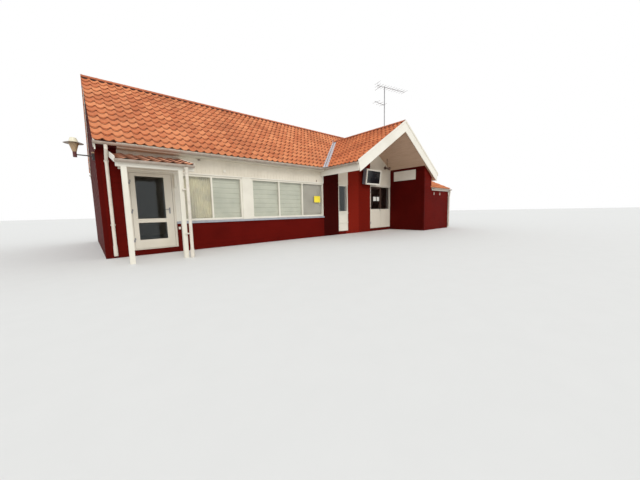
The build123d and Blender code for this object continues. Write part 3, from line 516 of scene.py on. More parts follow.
def block(bm, low, high):
    """A box between two corners."""
    (x0, y0, z0), (x1, y1, z1) = low, high
    prism(bm, [(x0, y0, z0), (x1, y0, z0), (x1, y1, z0), (x0, y1, z0)], (0, 0, z1 - z0))


def copies(bm, step, count):
    """All that is in bm, copied count times more, each a step further on."""
    if count > 0:
        everything = bm.verts[:] + bm.edges[:] + bm.faces[:]
        bmesh.ops.spin(
            bm, geom=everything, cent=(0, 0, 0), axis=(0, 0, 1), dvec=step, angle=0.0,
            steps=count, use_duplicate=True, use_merge=False,
        )


def cut(bm, point, outward):
    """Takes away all that lies outward of a plane and closes the cut."""
    everything = bm.verts[:] + bm.edges[:] + bm.faces[:]
    made = bmesh.ops.bisect_plane(
        bm, geom=everything, dist=1e-6, plane_co=point, plane_no=Vector(outward).normalized(),
        clear_outer=True,
    )
    opened = [item for item in made["geom_cut"] if isinstance(item, bmesh.types.BMEdge)]
    opened = [edge for edge in opened if edge.is_valid and len(edge.link_faces) == 1]
    bmesh.ops.holes_fill(bm, edges=opened, sides=0)


def turn(bm, across, up, corner):
    """Moves bm so that its x runs across, its y runs up and its origin lies at the corner."""
    out = Vector(across).cross(Vector(up))
    matrix = Matrix((across, up, out)).transposed().to_4x4()
    bmesh.ops.transform(bm, matrix=Matrix.Translation(corner) @ matrix, verts=bm.verts[:])


def lay(bm, along, x, y, z=0):
    """Turns what was made along X to run along a level direction from a place."""
    turn(bm, (along[0], along[1], 0), (-along[1], along[0], 0), (x, y, z))
    return bm


print("mesh helpers ready")

# %% [markdown]
# ## From bmesh to piece
#
# A bmesh is only a workspace. It becomes the mesh of an object, which rides on a body, takes
# its finish and may stand for a CAD node, which is then hidden.

# %% Piece helpers
def pour(joined, part):
    """Adds one bmesh to another."""
    mesh = bpy.data.meshes.new("part")
    part.to_mesh(mesh)
    part.free()
    joined.from_mesh(mesh)
    bpy.data.meshes.remove(mesh)


def together(parts):
    """Several bmeshes as one, which keeps the tone of each tile."""
    joined = bmesh.new()
    joined.faces.layers.float.new("tile_tone")
    for part in parts:
        pour(joined, part)
    return joined


def put(name, bm, finish):
    """An object of the scene, made from a bmesh."""
    mesh = bpy.data.meshes.new(name)
    bm.to_mesh(mesh)
    bm.free()
    mesh.materials.append(finish)
    made = bpy.data.objects.new(name, mesh)
    scene.collection.objects.link(made)
    return made


def piece(name, bm, finish, node=None, body="building"):
    """Turns a bmesh into a piece that rides on a body and may stand for a CAD node."""
    bmesh.ops.recalc_face_normals(bm, faces=bm.faces[:])
    made = put(name, bm, finish)
    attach(made, body)
    if node:
        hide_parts(node)
    return made


print("piece helpers ready")

# %% [markdown]
# ## One pantile
#
# A pantile is a wide shallow trough with a narrow roll at its right edge, which laps over
# the left edge of its neighbour. Its lower end lies on the tile below, so each tile sits a
# little steeper than the roof. The tile is made lying flat, X across the roof and Y up it:
# an outline of a few points, pushed up the slope.

# %% The tile
tile_lap = 0.05
tile_thick = 0.014
tile_side_rise = 0.005
tile_end_rise = 0.019
roll_at = 0.93
wave_of_tile = 0.042
across_shares = (0.03, 0.2, 0.4, 0.57, 0.69, 0.78, 0.86, 0.93, 1.0, 1.06)


def roll_height(share, wave):
    """Height of the tile's top at a share of its width."""
    swell = 0.5 + 0.5 * cos(2 * pi * (share - roll_at))
    return wave * swell ** 1.7 + tile_side_rise * share


def make_tile(bm, width, gauge, wave):
    """One tile, its lower left corner at the origin."""
    top = [(share * width, roll_height(share, wave)) for share in across_shares]
    outline = [(x, 0, z + tile_end_rise) for x, z in top]
    outline += [(x, 0, z + tile_end_rise - tile_thick) for x, z in reversed(top)]
    deep = gauge + tile_lap
    prism(bm, outline, (0, deep, -tile_end_rise * deep / gauge))


def top_of_tile(wave):
    """How far a tile's roll stands over the bed."""
    return tile_end_rise + wave + tile_side_rise * roll_at


print("a tile stands", round(top_of_tile(wave_of_tile) * 1000), "mm over its bed")

# %% [markdown]
# ## Tiled slopes
#
# A slope is its tile copied across and then up. Each tile then gets its own tone and a hair
# of its own height, because hand-laid tiles never lie quite alike. The flat field is turned
# onto the roof, its highest points in the plane of the CAD slab's top.

# %% Tile fields
sideways_play = 0.0012
height_play = 0.0025


def tile_field(columns, courses, width, gauge, wave=wave_of_tile):
    """A flat field of separate tiles, its highest points at height 0."""
    bm = bmesh.new()
    tone = bm.faces.layers.float.new("tile_tone")
    make_tile(bm, width, gauge, wave)
    corners = len(bm.verts)
    sides = len(bm.faces)
    copies(bm, (width, 0, 0), columns - 1)
    copies(bm, (0, gauge, 0), courses - 1)
    bm.verts.ensure_lookup_table()
    bm.faces.ensure_lookup_table()
    for start in range(0, len(bm.verts), corners):
        shift = Vector((chance.uniform(-sideways_play, sideways_play), 0, chance.uniform(-height_play, 0)))
        bmesh.ops.translate(bm, verts=bm.verts[start:start + corners], vec=shift)
    for start in range(0, len(bm.faces), sides):
        shade = chance.random()
        for face in bm.faces[start:start + sides]:
            face[tone] = shade
    bmesh.ops.translate(bm, verts=bm.verts[:], vec=(0, 0, -top_of_tile(wave)))
    return bm


def slope_up(pitch, toward):
    """The unit vector up a slope that rises toward a level direction."""
    return Vector((toward[0] * cos(pitch), toward[1] * cos(pitch), sin(pitch)))


slab = 0.070
main_pitch = radians(37.5)
cross_pitch = radians(32.5)
main_slope = tan(main_pitch)
cross_slope = tan(cross_pitch)
main_low, main_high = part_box("main_tiles_front")
eave_z = main_low.z + slab / cos(main_pitch)
roof_length = main_high.x - main_low.x
main_columns = 73
main_width = roof_length / main_columns
main_courses = 13
main_gauge = (main_high.y - main_low.y) / cos(main_pitch) / main_courses
print("main slope: tile width", round(main_width, 4), "gauge", round(main_gauge, 4))

# %% [markdown]
# ## The main roof
#
# The rear slope is whole. The front slope is open where the cross roof runs into it, so its
# two halves are laid separately. Each is cut along its valley by the sloping plane that the
# CAD slab was cut with, which leaves the strip of valley metal bare.

# %% Main slopes
cross_low, cross_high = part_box("gable_tiles_west")
cross_left, cross_front = cross_low.x, cross_low.y
ridge_x, ridge_z = cross_high.x, cross_high.z
cross_half = ridge_x - cross_left
cross_right = ridge_x + cross_half
lean_low, lean_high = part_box("lean_tiles")
main_gaps = {-1: 0.045, 1: 0.16}
course_y = main_gauge * cos(main_pitch)
front_clay = clay("front_clay", front_tones, 1, main_low.y, course_y, 0.85)


def front_slope(first, columns):
    """Part of the front slope, a number of columns from the first one on."""
    bm = tile_field(columns, main_courses, main_width, main_gauge)
    corner = (main_low.x + first * main_width, main_low.y, eave_z)
    turn(bm, (1, 0, 0), slope_up(main_pitch, (0, 1)), corner)
    cut(bm, (0, main_high.y, 0), (0, 1, 0))
    return bm


middle = int((ridge_x - main_low.x) / main_width)
west_half = front_slope(0, middle + 1)
cut(west_half, (ridge_x, 0, 0), (1, 0, 0))
cut(west_half, (cross_left - main_gaps[-1], 0, eave_z), (cross_slope, 0, -1))
east_half = front_slope(middle, main_columns - middle)
cut(east_half, (ridge_x, 0, 0), (-1, 0, 0))
cut(east_half, (cross_right + main_gaps[1], 0, eave_z), (-cross_slope, 0, -1))
cut(east_half, (0, lean_high.y, 0), (0, -1, 0))
cut(east_half, (main_high.x, 0, 0), (1, 0, 0))
halves = together([west_half, east_half])
front_tiles = piece("front_slope_tiles", halves, front_clay, "main_tiles_front")

rear = tile_field(main_columns, main_courses, main_width, main_gauge)
rear_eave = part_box("main_tiles_rear")[1].y
turn(rear, (-1, 0, 0), slope_up(main_pitch, (0, -1)), (main_high.x, rear_eave, eave_z))
cut(rear, (0, main_high.y, 0), (0, -1, 0))
cut(rear, (main_low.x, 0, 0), (-1, 0, 0))
rear_clay = clay("rear_clay", front_tones, 1, rear_eave, -course_y, 0.85)
rear_tiles = piece("rear_slope_tiles", rear, rear_clay, "main_tiles_rear")
print("main slope faces:", len(front_tiles.data.polygons), len(rear_tiles.data.polygons))

# %% [markdown]
# ## The cross roof
#
# Its two slopes run back until they dive under the main slope. They are laid with the roll
# toward the front on the west side, as every field is laid from left to right seen from
# outside. On that side they are cut back from the valley, where a folded sheet shows.

# %% Cross slopes
cross_courses = 11
cross_gauge = cross_half / cos(cross_pitch) / cross_courses
cross_columns = 22
cross_width = 0.2125
cross_back = cross_front + cross_columns * cross_width
valley_depth = (ridge_z - eave_z) / main_slope
cross_gaps = {-1: 0.13, 1: 0.0}


def valley_line(side):
    """The foot of a valley and its direction, up to the head of the cross ridge."""
    foot = Vector((ridge_x + side * cross_half, main_low.y, eave_z))
    return foot, Vector((-side * cross_half, valley_depth, ridge_z - eave_z)).normalized()


def cross_slope_tiles(side, name, node):
    """One cross slope: side -1 is the west one, 1 the east one."""
    bm = tile_field(cross_columns, cross_courses, cross_width, cross_gauge)
    start = cross_back if side < 0 else cross_front
    foot, along = valley_line(side)
    up = slope_up(cross_pitch, (-side, 0))
    turn(bm, (0, side, 0), up, (foot.x, start, eave_z))
    cut(bm, (ridge_x, 0, 0), (-side, 0, 0))
    cut(bm, (0, cross_front, 0), (0, -1, 0))
    inward = (along.cross(up.cross(Vector((0, 1, 0))))).normalized()
    inward = inward if inward.y > 0 else -inward
    cut(bm, foot - inward * cross_gaps[side], inward)
    step_x = -side * cross_gauge * cos(cross_pitch)
    finish = clay(name + "_clay", cross_tones, 0, foot.x, step_x, 0.5)
    piece(name, bm, finish, node)


cross_slope_tiles(-1, "cross_west_tiles", "gable_tiles_west")
cross_slope_tiles(1, "cross_east_tiles", "gable_tiles_east")
print("cross gauge", round(cross_gauge, 4))

# %% [markdown]
# ## Valley metal
#
# In the west valley a narrow flange of metal lies on the main slope and a wide one on the
# cross slope. In the east valley only a wide one on the main slope shows. Each is a strip
# along the valley line, a little below the tile tops, made too long and then cut.

# %% Valley sheets
metal_sink = 0.030
metal_thick = 0.004
metal_lap = 0.02
spare = 0.3


def flange(side, up, level, gap, outer):
    """A strip along a valley, on the slope that rises along up, wide enough for its gap."""
    foot, along = valley_line(side)
    normal = up.cross(Vector(level))
    normal = normal if normal.z > 0 else -normal
    across = along.cross(normal)
    across = across if across.dot(Vector(outer)) > 0 else -across
    start = foot - normal * metal_sink - along * spare
    end = start + along * (valley_depth / along.y + 2 * spare)
    wide = across * (gap + metal_lap)
    bm = bmesh.new()
    prism(bm, [start, end, end + wide, start + wide], -normal * metal_thick)
    cut(bm, (ridge_x, 0, 0), (-side, 0, 0))
    return bm


main_up = slope_up(main_pitch, (0, 1))
flanges = [
    flange(-1, main_up, (1, 0, 0), main_gaps[-1], (-1, 0, 0)),
    flange(-1, slope_up(cross_pitch, (1, 0)), (0, 1, 0), cross_gaps[-1], (0, -1, 0)),
    flange(1, main_up, (1, 0, 0), main_gaps[1], (1, 0, 0)),
]
cut(flanges[0], (0, main_low.y, 0), (0, -1, 0))
cut(flanges[1], (cross_left, 0, 0), (-1, 0, 0))
cut(flanges[2], (0, lean_high.y, 0), (0, -1, 0))
piece("valley_sheets", together(flanges), valley_metal, "valley_flashings")
print("valley sheets laid")

# %% [markdown]
# ## The lean-to
#
# Its slope meets the cross roof in three steps: under its eave, beside its fascia and up a
# second valley. So it is laid as three bands, each cut to its own edge.

# %% Lean-to slope
lean_slab = slab / cos(radians(24.99))
lean_from = ridge_x + 2.7
lean_run_y = lean_high.y - lean_low.y
lean_eave_z = lean_low.z + lean_slab
lean_pitch = atan2(lean_high.z - lean_eave_z, lean_run_y)
lean_courses = 7
lean_gauge = lean_run_y / cos(lean_pitch) / lean_courses
fascia_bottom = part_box("gable_deck")[0].z


def lean_band(low_z, high_z, point, outward):
    """The lean-to's tiles between two heights, cut by one more plane."""
    first = int((lean_from - main_low.x) / main_width)
    bm = tile_field(main_columns - first, lean_courses, main_width, lean_gauge)
    corner = (main_low.x + first * main_width, lean_low.y, lean_eave_z)
    turn(bm, (1, 0, 0), slope_up(lean_pitch, (0, 1)), corner)
    low_y, high_y = (lean_low.y + (z - lean_eave_z) / tan(lean_pitch) for z in (low_z, high_z))
    cut(bm, point, outward)
    cut(bm, (0, high_y, 0), (0, 1, 0))
    cut(bm, (lean_high.x, 0, 0), (1, 0, 0))
    if low_z > lean_eave_z:
        cut(bm, (0, low_y, 0), (0, -1, 0))
    return bm


bands = [
    lean_band(lean_eave_z, fascia_bottom, (lean_low.x, 0, 0), (-1, 0, 0)),
    lean_band(fascia_bottom, eave_z, (cross_right, 0, 0), (-1, 0, 0)),
    lean_band(eave_z, lean_high.z, (cross_right, 0, eave_z), (-cross_slope, 0, -1)),
]
lean_clay = clay("lean_clay", front_tones, 1, lean_low.y, lean_gauge * cos(lean_pitch), 0.55)
piece("lean_to_tiles", together(bands), lean_clay, "lean_tiles")
print("lean-to pitch", round(degrees(lean_pitch), 2))

# %% [markdown]
# ## The porch roof
#
# The porch has a low pitch, a thinner slab and flatter, greyer tiles. It stops a millimetre
# short of the wall.

# %% Porch roof
porch_low, porch_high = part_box("porch_tiles")
porch_slab = 0.050
porch_wave = 0.024
porch_pitch = radians(14)
porch_courses = 5
porch_columns = 7
porch_step = (porch_high.y - porch_low.y) / porch_courses
porch_width = (porch_high.x - porch_low.x) / porch_columns
porch_gauge = (porch_high.y - porch_low.y) / cos(porch_pitch) / porch_courses
porch = tile_field(porch_columns, porch_courses, porch_width, porch_gauge, porch_wave)
porch_eave_z = porch_low.z + porch_slab / cos(porch_pitch)
turn(porch, (1, 0, 0), slope_up(porch_pitch, (0, 1)), (porch_low.x, porch_low.y, porch_eave_z))
cut(porch, (0, porch_high.y - 0.001, 0), (0, 1, 0))
cut(porch, (porch_high.x, 0, 0), (1, 0, 0))
porch_clay = clay("porch_clay", porch_tones, 1, porch_low.y, porch_step, 0.85)
piece("porch_roof_tiles", porch, porch_clay, "porch_tiles")
print("porch tile width", round(porch_width, 3))

# %% [markdown]
# ## Ridge cappings
#
# Half-round tiles sit over the ridges in a bed of mortar. Each has a collar that covers the
# joint to the next. One capping is a half ring pushed along, with a slightly larger half
# ring for its collar, and then copied. The mortar is set back and coloured dark as painted
# shade, so it draws a dark line.

# %% Cappings
capping_radius = 0.088
capping_wall = 0.014
capping_sink = 0.066
collar_step = 0.004
collar_length = 0.045


def half_ring(radius, wall, steps, start=0.0):
    """Points of a half ring in the plane across X, its centre at the origin."""
    angles = [start + pi * step / steps for step in range(steps + 1)]
    outer = [(0, radius * cos(a), radius * sin(a)) for a in angles]
    radius -= wall
    return outer + [(0, radius * cos(a), radius * sin(a)) for a in reversed(angles)]


def ridge(length, count):
    """Cappings along X from the origin, their centres on the X axis."""
    bm = bmesh.new()
    step = length / count
    prism(bm, half_ring(capping_radius - collar_step, capping_wall, 10), (step, 0, 0))
    prism(bm, half_ring(capping_radius, capping_wall, 10), (collar_length, 0, 0))
    copies(bm, (step, 0, 0), count - 1)
    return bm


head_y = main_high.y - (main_high.z - ridge_z) / main_slope
main_start = (main_low.x, main_high.y, main_high.z - capping_sink)
cross_start = (ridge_x, cross_front, ridge_z - capping_sink)
cross_length = head_y - cross_front + 0.12
main_caps = lay(ridge(roof_length, 41), (1, 0), *main_start)
cross_caps = lay(ridge(cross_length, 12), (0, 1), *cross_start)
cut(cross_caps, (0, main_low.y, eave_z - 0.03), (0, main_slope, -1))
piece("ridge_cappings", together([main_caps, cross_caps]), plain_clay, "ridge_tiles")
print("ridge heights", round(main_high.z, 3), round(ridge_z, 3))

# %% Mortar
bed_inset = 0.01
bed_foot = 0.065
shoulder = 0.02


def bedding(length, pitch):
    """Mortar under the cappings, down to the tiles' troughs."""
    bm = bmesh.new()
    half = capping_radius - capping_wall - 0.004
    low = capping_sink - half * tan(pitch) - bed_foot
    peak = (0, 0, capping_radius - capping_wall - 0.006)
    outline = [(0, -half, low), (0, half, low), (0, half, shoulder), peak, (0, -half, shoulder)]
    prism(bm, outline, (length - 2 * bed_inset, 0, 0))
    bmesh.ops.translate(bm, verts=bm.verts[:], vec=(bed_inset, 0, 0))
    return bm


main_bed = lay(bedding(roof_length, main_pitch), (1, 0), *main_start)
cross_bed = lay(bedding(cross_length, cross_pitch), (0, 1), *cross_start)
cut(cross_bed, (0, main_low.y, eave_z - 0.04), (0, main_slope, -1))
piece("ridge_mortar", together([main_bed, cross_bed]), shaded_mortar)
print("mortar laid")

# %% [markdown]
# ## Horizontal boards on the red walls
#
# The walls are clad with lapped boards: each leans out at its lower edge, which throws a
# thin shadow on the board below. One board outline is pushed along the wall and copied up.
# The boards start at the same height everywhere, so they line up round the corners. A wall
# seen from outside always runs from left to right, so the same boards serve every side.

# %% Lapped boards
board_step = 0.150
board_lip = 0.013
board_top = 0.005


def lapped_boards(length, z0, z1, along, x, y):
    """Boards between two heights that run along a level direction from a place."""
    bm = bmesh.new()
    first = floor(z0 / board_step + 1e-6)
    count = ceil(z1 / board_step - 1e-6) - first
    low = first * board_step
    profile = ((0, 0), (-board_lip, 0), (-board_lip, 0.01), (-board_top, board_step), (0, board_step))
    prism(bm, [(0, out, low + up) for out, up in profile], (length, 0, 0))
    copies(bm, (0, 0, board_step), count - 1)
    if low < z0 - 1e-6:
        cut(bm, (0, 0, z0), (0, 0, -1))
    cut(bm, (0, 0, z1), (0, 0, 1))
    return lay(bm, along, x, y)


def cut_to_roof(bm, roof):
    """Cuts off what rises over two slopes, given by a place on their ridge and their rise."""
    peak, (x, y) = roof
    cut(bm, peak, (x, y, 1))
    cut(bm, peak, (-x, -y, 1))
    return bm


soffit_in = 0.07
under_cross = eave_z + soffit_in * cross_slope - fascia_bottom
under_main = 0.140 / cos(main_pitch) + 0.02
cross_roof = ((ridge_x, 0, ridge_z - under_cross), (cross_slope, 0))
main_roof = ((0, main_high.y, main_high.z - under_main), (0, -main_slope))
print("boards end", round(under_cross, 3), "and", round(under_main, 3), "m under the tile tops")

# %% [markdown]
# ## The front wall
#
# The boards fill the fields that the openings and the cream frieze leave. Two fields reach
# up into the cross roof: they are made too high and cut to its sloping soffit.

# %% Front boards
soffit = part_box("eave_boards")[0].z
opening_head = frieze_low.z
sill_z = 0.82
floor_z = 0.15
porch_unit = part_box("porch_door_frame")
front_fields = [
    (0.0, frieze_low.x, 0.0, soffit),
    (frieze_low.x, porch_unit[0].x, 0.0, opening_head),
    (porch_unit[1].x, frieze_high.x, 0.0, sill_z),
    (frieze_high.x, light_low.x, 0.0, 3.6),
    (light_low.x, light_high.x, 0.0, floor_z),
    (light_high.x, unit_low.x, 0.0, 4.6),
]
front_parts = []
for x0, x1, z0, z1 in front_fields:
    field = lapped_boards(x1 - x0, z0, z1, (1, 0), x0, 0)
    front_parts.append(cut_to_roof(field, cross_roof) if z1 > soffit else field)
piece("front_boards", together(front_parts), red_x)
print("front boards:", len(front_fields), "fields")

# %% [markdown]
# ## The other walls
#
# The gable ends are made too high and cut to their slopes, and the rear wall leaves its
# windows free. Their strips repeat the front's: a place along X, a width and a number of panes.

# %% West, east, rear and wing boards
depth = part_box("west_gable_wall")[1].y
east_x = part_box("east_gable_wall")[1].x
wing_x, wing_y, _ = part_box("wing_side_wall")[0]
cheek_x = lean_low.x
under_lean = 0.140 / cos(lean_pitch) + 0.02
window_strips = {
    "front": ((1.75, 2.05, 2), (4.15, 3.41, 3)),
    "rear": ((4.15, 3.41, 3), (9.5, 2.05, 2)),
}

west = cut_to_roof(lapped_boards(depth, 0, 5.6, (0, -1), 0, depth), main_roof)
east_high = lapped_boards(depth - lean_high.y, 0, 5.6, (0, 1), east_x, lean_high.y)
east_low = lapped_boards(lean_high.y - wing_y, 0, 3.3, (0, 1), east_x, wing_y)
cut(east_low, (0, lean_low.y, lean_eave_z - under_lean), (0, -tan(lean_pitch), 1))
recess = cut_to_roof(lapped_boards(-wing_y, 0, 3.75, (0, -1), wing_x, 0), cross_roof)
ends = together([west, cut_to_roof(east_high, main_roof), east_low, recess])
piece("end_boards", ends, red_y)

tall = cut_to_roof(lapped_boards(cheek_x - wing_x, 0, 3.6, (1, 0), wing_x, wing_y), cross_roof)
low_front = lapped_boards(east_x - cheek_x, 0, 2.06, (1, 0), cheek_x, wing_y)
edges = [0] + [x for left, span, panes in window_strips["rear"] for x in (left, left + span)] + [east_x]
rear_fields = [(0, east_x, 0, sill_z), (0, east_x, opening_head, soffit)]
rear_fields += [(edges[i], edges[i + 1], sill_z, opening_head) for i in (0, 2, 4)]
rear_parts = [lapped_boards(x1 - x0, z0, z1, (-1, 0), x1, depth) for x0, x1, z0, z1 in rear_fields]
piece("side_boards", together([tall, low_front] + rear_parts), red_x)
print("walls clad, depth", round(depth, 2), "length", round(east_x, 2))

# %% [markdown]
# ## Upright cream boards
#
# Above the windows and over the platform door the boards stand upright, with faint joints.
# Each board has a small chamfer on both edges, which together make the joint's shadow.

# %% Upright boards
upright_step = 0.130
upright_out = 0.009
chamfer = 0.005
trim_out = 0.016
head_trim = 0.03
end_trim = 0.06


def upright_boards(x0, x1, z0, z1):
    """Chamfered boards side by side on the front wall."""
    bm = bmesh.new()
    count = round((x1 - x0) / upright_step)
    step = (x1 - x0) / count
    edge_out = upright_out - chamfer
    profile = [(0, 0), (0, edge_out), (chamfer, upright_out)]
    profile += [(step - x, out) for x, out in reversed(profile)]
    prism(bm, [(x, -out, z0) for x, out in profile], (0, 0, z1 - z0))
    copies(bm, (step, 0, 0), count - 1)
    return lay(bm, (1, 0), x0, 0)


over_windows = upright_boards(frieze_low.x, frieze_high.x - end_trim, opening_head + head_trim, soffit)
over_light = cut_to_roof(upright_boards(light_low.x, light_high.x, opening_head, 3.9), cross_roof)
over_door = cut_to_roof(upright_boards(unit_low.x, unit_high.x, unit_high.z, 4.85), cross_roof)
uprights = together([over_windows, over_light, over_door])
piece("cream_uprights", uprights, cream_upright)
print("frieze from", round(frieze_low.x, 2), "to", round(frieze_high.x, 2))

# %% [markdown]
# ## Trims
#
# Narrow boards close the cladding: a strip under the frieze, one at its right end, one over
# the platform door, and the board that closes the front eave at its west end. An angle of
# board covers each corner, four of them red and the one by the lean-to's pipe white. Each
# bargeboard has a second, narrower board along its upper edge.

# %% White trims
bm = bmesh.new()
block(bm, (frieze_low.x, -trim_out, opening_head), (frieze_high.x, 0, opening_head + head_trim))
block(bm, (frieze_high.x - end_trim, -trim_out, opening_head + head_trim), (frieze_high.x, 0, soffit))
block(bm, (unit_low.x, -trim_out, unit_high.z), (unit_high.x, 0, unit_high.z + 0.035))
block(bm, (-0.035, -0.30, soffit), (-0.001, -0.001, eave_z - 0.09))
piece("white_trims", bm, white_x)
print("trims made")

# %% Corner strips
strip_out = 0.018
strip_width = 0.07


def corner_strip(bm, x, y, to_x, to_y, height):
    """An angle of board round a wall corner that lies toward -to_x and -to_y."""
    far_x, far_y = x + to_x * strip_width, y + to_y * strip_width
    out_x, out_y = x - to_x * strip_out, y - to_y * strip_out
    outline = [(out_x, out_y), (far_x, out_y), (far_x, y), (x, y), (x, far_y), (out_x, far_y)]
    prism(bm, [(*point, 0) for point in outline], (0, 0, height))


corners = ((0, 0, 1, 1), (east_x, depth, -1, -1), (0, depth, 1, -1), (wing_x, wing_y, 1, 1))
bm = bmesh.new()
for corner in corners:
    corner_strip(bm, *corner, soffit)
piece("corner_strips", bm, red_y)
bm = bmesh.new()
corner_strip(bm, east_x, wing_y, -1, 1, lean_eave_z - 0.2)
piece("white_corner_strip", bm, white_upright)
print("corner strips:", len(corners) + 1)

# %% Bargeboard strips
barge_strip = 0.085
barge_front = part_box("bargeboards")[0].y
bm = bmesh.new()
for side in (-1, 1):
    foot = Vector((ridge_x + side * cross_half, barge_front, eave_z))
    peak = Vector((ridge_x, barge_front, eave_z + cross_half * cross_slope))
    drop = Vector((0, 0, barge_strip))
    prism(bm, [foot, peak, peak - drop, foot - drop], (0, -0.020, 0))
piece("bargeboard_strips", bm, white_x)
print("bargeboard front at", round(barge_front, 3))

# %% [markdown]
# ## Blinds and curtains
#
# Behind every pane hangs a cloth: a gathered curtain in the first window, pleated blinds in
# the next ones and a plain one in the last. A curtain is a wavy line drawn upward; a pleated
# blind is a zigzag line drawn sideways. Each reaches 15 mm behind the frame on both sides.
# The rear ones are mirrored.

# %% Lines of cloth
cloth_low = 0.945
cloth_height = 2.255 - cloth_low
cloth_y = 0.118
folds = 14
pleats = 8
pleat_depth = 0.012


def drawn(points, push, count):
    """An open surface: a line of points drawn along one vector, count times."""
    bm = bmesh.new()
    line = [bm.verts.new(point) for point in points]
    edges = [bm.edges.new(pair) for pair in zip(line, line[1:])]
    for _ in range(count):
        made = bmesh.ops.extrude_edge_only(bm, edges=edges)
        moved = [item for item in made["geom"] if isinstance(item, bmesh.types.BMVert)]
        bmesh.ops.translate(bm, verts=moved, vec=push)
        edges = [item for item in made["geom"] if isinstance(item, bmesh.types.BMEdge)]
        edges = [edge for edge in edges if all(vert in moved for vert in edge.verts)]
    return bm


def curtain(x0, x1):
    """A gathered curtain: regular folds on a slow second wave."""
    line = []
    for step in range(folds * 8 + 1):
        share = step / (folds * 8)
        swing = 0.013 * sin(2 * pi * folds * share) + 0.004 * sin(19 * share)
        line.append((x0 + (x1 - x0) * share, cloth_y + 0.018 + swing, cloth_low))
    return drawn(line, (0, 0, cloth_height / 6), 6)


def blind(x0, x1, pleated):
    """A pleated or a plain blind, drawn from its left edge."""
    line = [(x0, cloth_y, cloth_low + cloth_height * step / 6) for step in range(7)]
    if pleated:
        line = []
        for step in range(pleats):
            z = cloth_low + cloth_height * step / pleats
            line += [(x0, cloth_y + pleat_depth, z), (x0, cloth_y, z + pleat_depth)]
            line.append((x0, cloth_y + pleat_depth / 2, z + cloth_height / pleats * 0.7))
        line.append((x0, cloth_y + pleat_depth, cloth_low + cloth_height))
    return drawn(line, ((x1 - x0) / 4, 0, 0), 4)


print("cloths hang from", round(cloth_low + cloth_height, 3), "down to", cloth_low)

# %% Hang the cloths
frame_width = 0.06
mullion = 0.05
cloth_lap = 0.015
cloths = []


def hang(side, bm, finish, held):
    """Makes a cloth a piece, mirrored onto the rear wall on the rear side; a gathered one gets smooth
    normals.
    """
    if side == "rear":
        bmesh.ops.scale(bm, vec=(1, -1, 1), verts=bm.verts[:])
        bmesh.ops.translate(bm, vec=(0, depth, 0), verts=bm.verts[:])
    area = sum(face.calc_area() for face in bm.faces)
    made = piece(f"cloth_{side}_{len(cloths) + 1}", bm, finish)
    for polygon in made.data.polygons:
        polygon.use_smooth = held == "gathered"
    cloths.append(made)


for side, strips in window_strips.items():
    for left, span, panes in strips:
        clear = (span - 2 * frame_width - (panes - 1) * mullion) / panes
        for number in range(panes):
            x0 = left + frame_width + number * (clear + mullion) - cloth_lap
            x1 = x0 + clear + 2 * cloth_lap
            if (panes, number) == (2, 0):
                hang(side, curtain(x0, x1), curtain_cloth, "gathered")
            elif (panes, number) == (3, 2):
                hang(side, blind(x0, x1, False), grey_cloth, "hung")
            else:
                hang(side, blind(x0, x1, True), blind_cloth, "hung")
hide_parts("window_blinds")
print("cloths:", [made.name for made in cloths])

# %% [markdown]
# ## Gutter hooks
#
# Flat steel hooks carry the gutters, one every 60 cm or so. They show as small ticks at the
# rim. Each is a half ring round the gutter, with a bar across its top, copied along it.

# %% Hooks
gutter_radius = 0.062
hook_wall = 0.004
hook_width = 0.025
main_rim, cross_rim, porch_rim = 2.867, 2.872, 2.306
porch_gutter_y = -1.492


def hooks(length, gaps, along, x, y, rim):
    """Gutter hooks along a level direction from a place at the gutter's rim."""
    bm = bmesh.new()
    outer = gutter_radius + hook_wall
    prism(bm, half_ring(outer, hook_wall, 8, pi), (hook_width, 0, 0))
    block(bm, (0, -outer, 0), (hook_width, outer, hook_wall))
    copies(bm, (length / gaps, 0, 0), gaps)
    return lay(bm, along, x, y, rim)


rows = [
    hooks(6.72, 12, (1, 0), 0.30, -0.347, main_rim),
    hooks(15.1, 25, (1, 0), 0.15, depth + 0.343, main_rim),
    hooks(1.5, 3, (0, 1), cross_left - 0.017, -2.0, cross_rim),
    hooks(0.55, 1, (0, 1), cross_right + 0.017, -2.05, cross_rim),
    hooks(1.3, 3, (1, 0), 0.35, porch_gutter_y, porch_rim),
]
piece("gutter_hooks", together(rows), gutter_paint)
print("rows of hooks:", len(rows))

# %% [markdown]
# ## Pipe collars
#
# The downpipes have collars at their joints and a thicker foot. Each is a short cylinder with
# its two rims bevelled, a few millimetres wider than the pipe.

# %% Collars
collar_radius = 0.044
foot_radius = 0.046
pipe_in = 0.19
pipe_y = -0.08


def collar(bm, x, y, z, radius, height):
    """A short sleeve round a pipe, with softened rims."""
    made = bmesh.ops.create_cone(
        bm, cap_ends=True, segments=24, radius1=radius, radius2=radius, depth=height,
        matrix=Matrix.Translation((x, y, z + height / 2)),
    )
    edges = {edge for vert in made["verts"] for edge in vert.link_edges if len(edge.link_faces) == 2}
    rims = [edge for edge in edges if abs(edge.verts[0].co.z - edge.verts[1].co.z) < 1e-6]
    bmesh.ops.bevel(bm, geom=rims, offset=0.003, affect="EDGES", segments=2, profile=0.5, material=-1)


bm = bmesh.new()
for x, y in ((pipe_in, pipe_y), (pipe_in, depth - pipe_y), (east_x - pipe_in, depth - pipe_y)):
    for z in (0.28, 2.42):
        collar(bm, x, y, z, collar_radius, 0.05)
    collar(bm, x, y, 0.06, foot_radius, 0.22)
collar(bm, 1.65, porch_gutter_y, 2.12, collar_radius, 0.04)
collar(bm, 1.65, porch_gutter_y, 0.02, foot_radius, 0.2)
collar(bm, east_x - 0.07, -2.08, 0.06, 0.045, 0.2)
piece("pipe_collars", bm, pipe_paint)

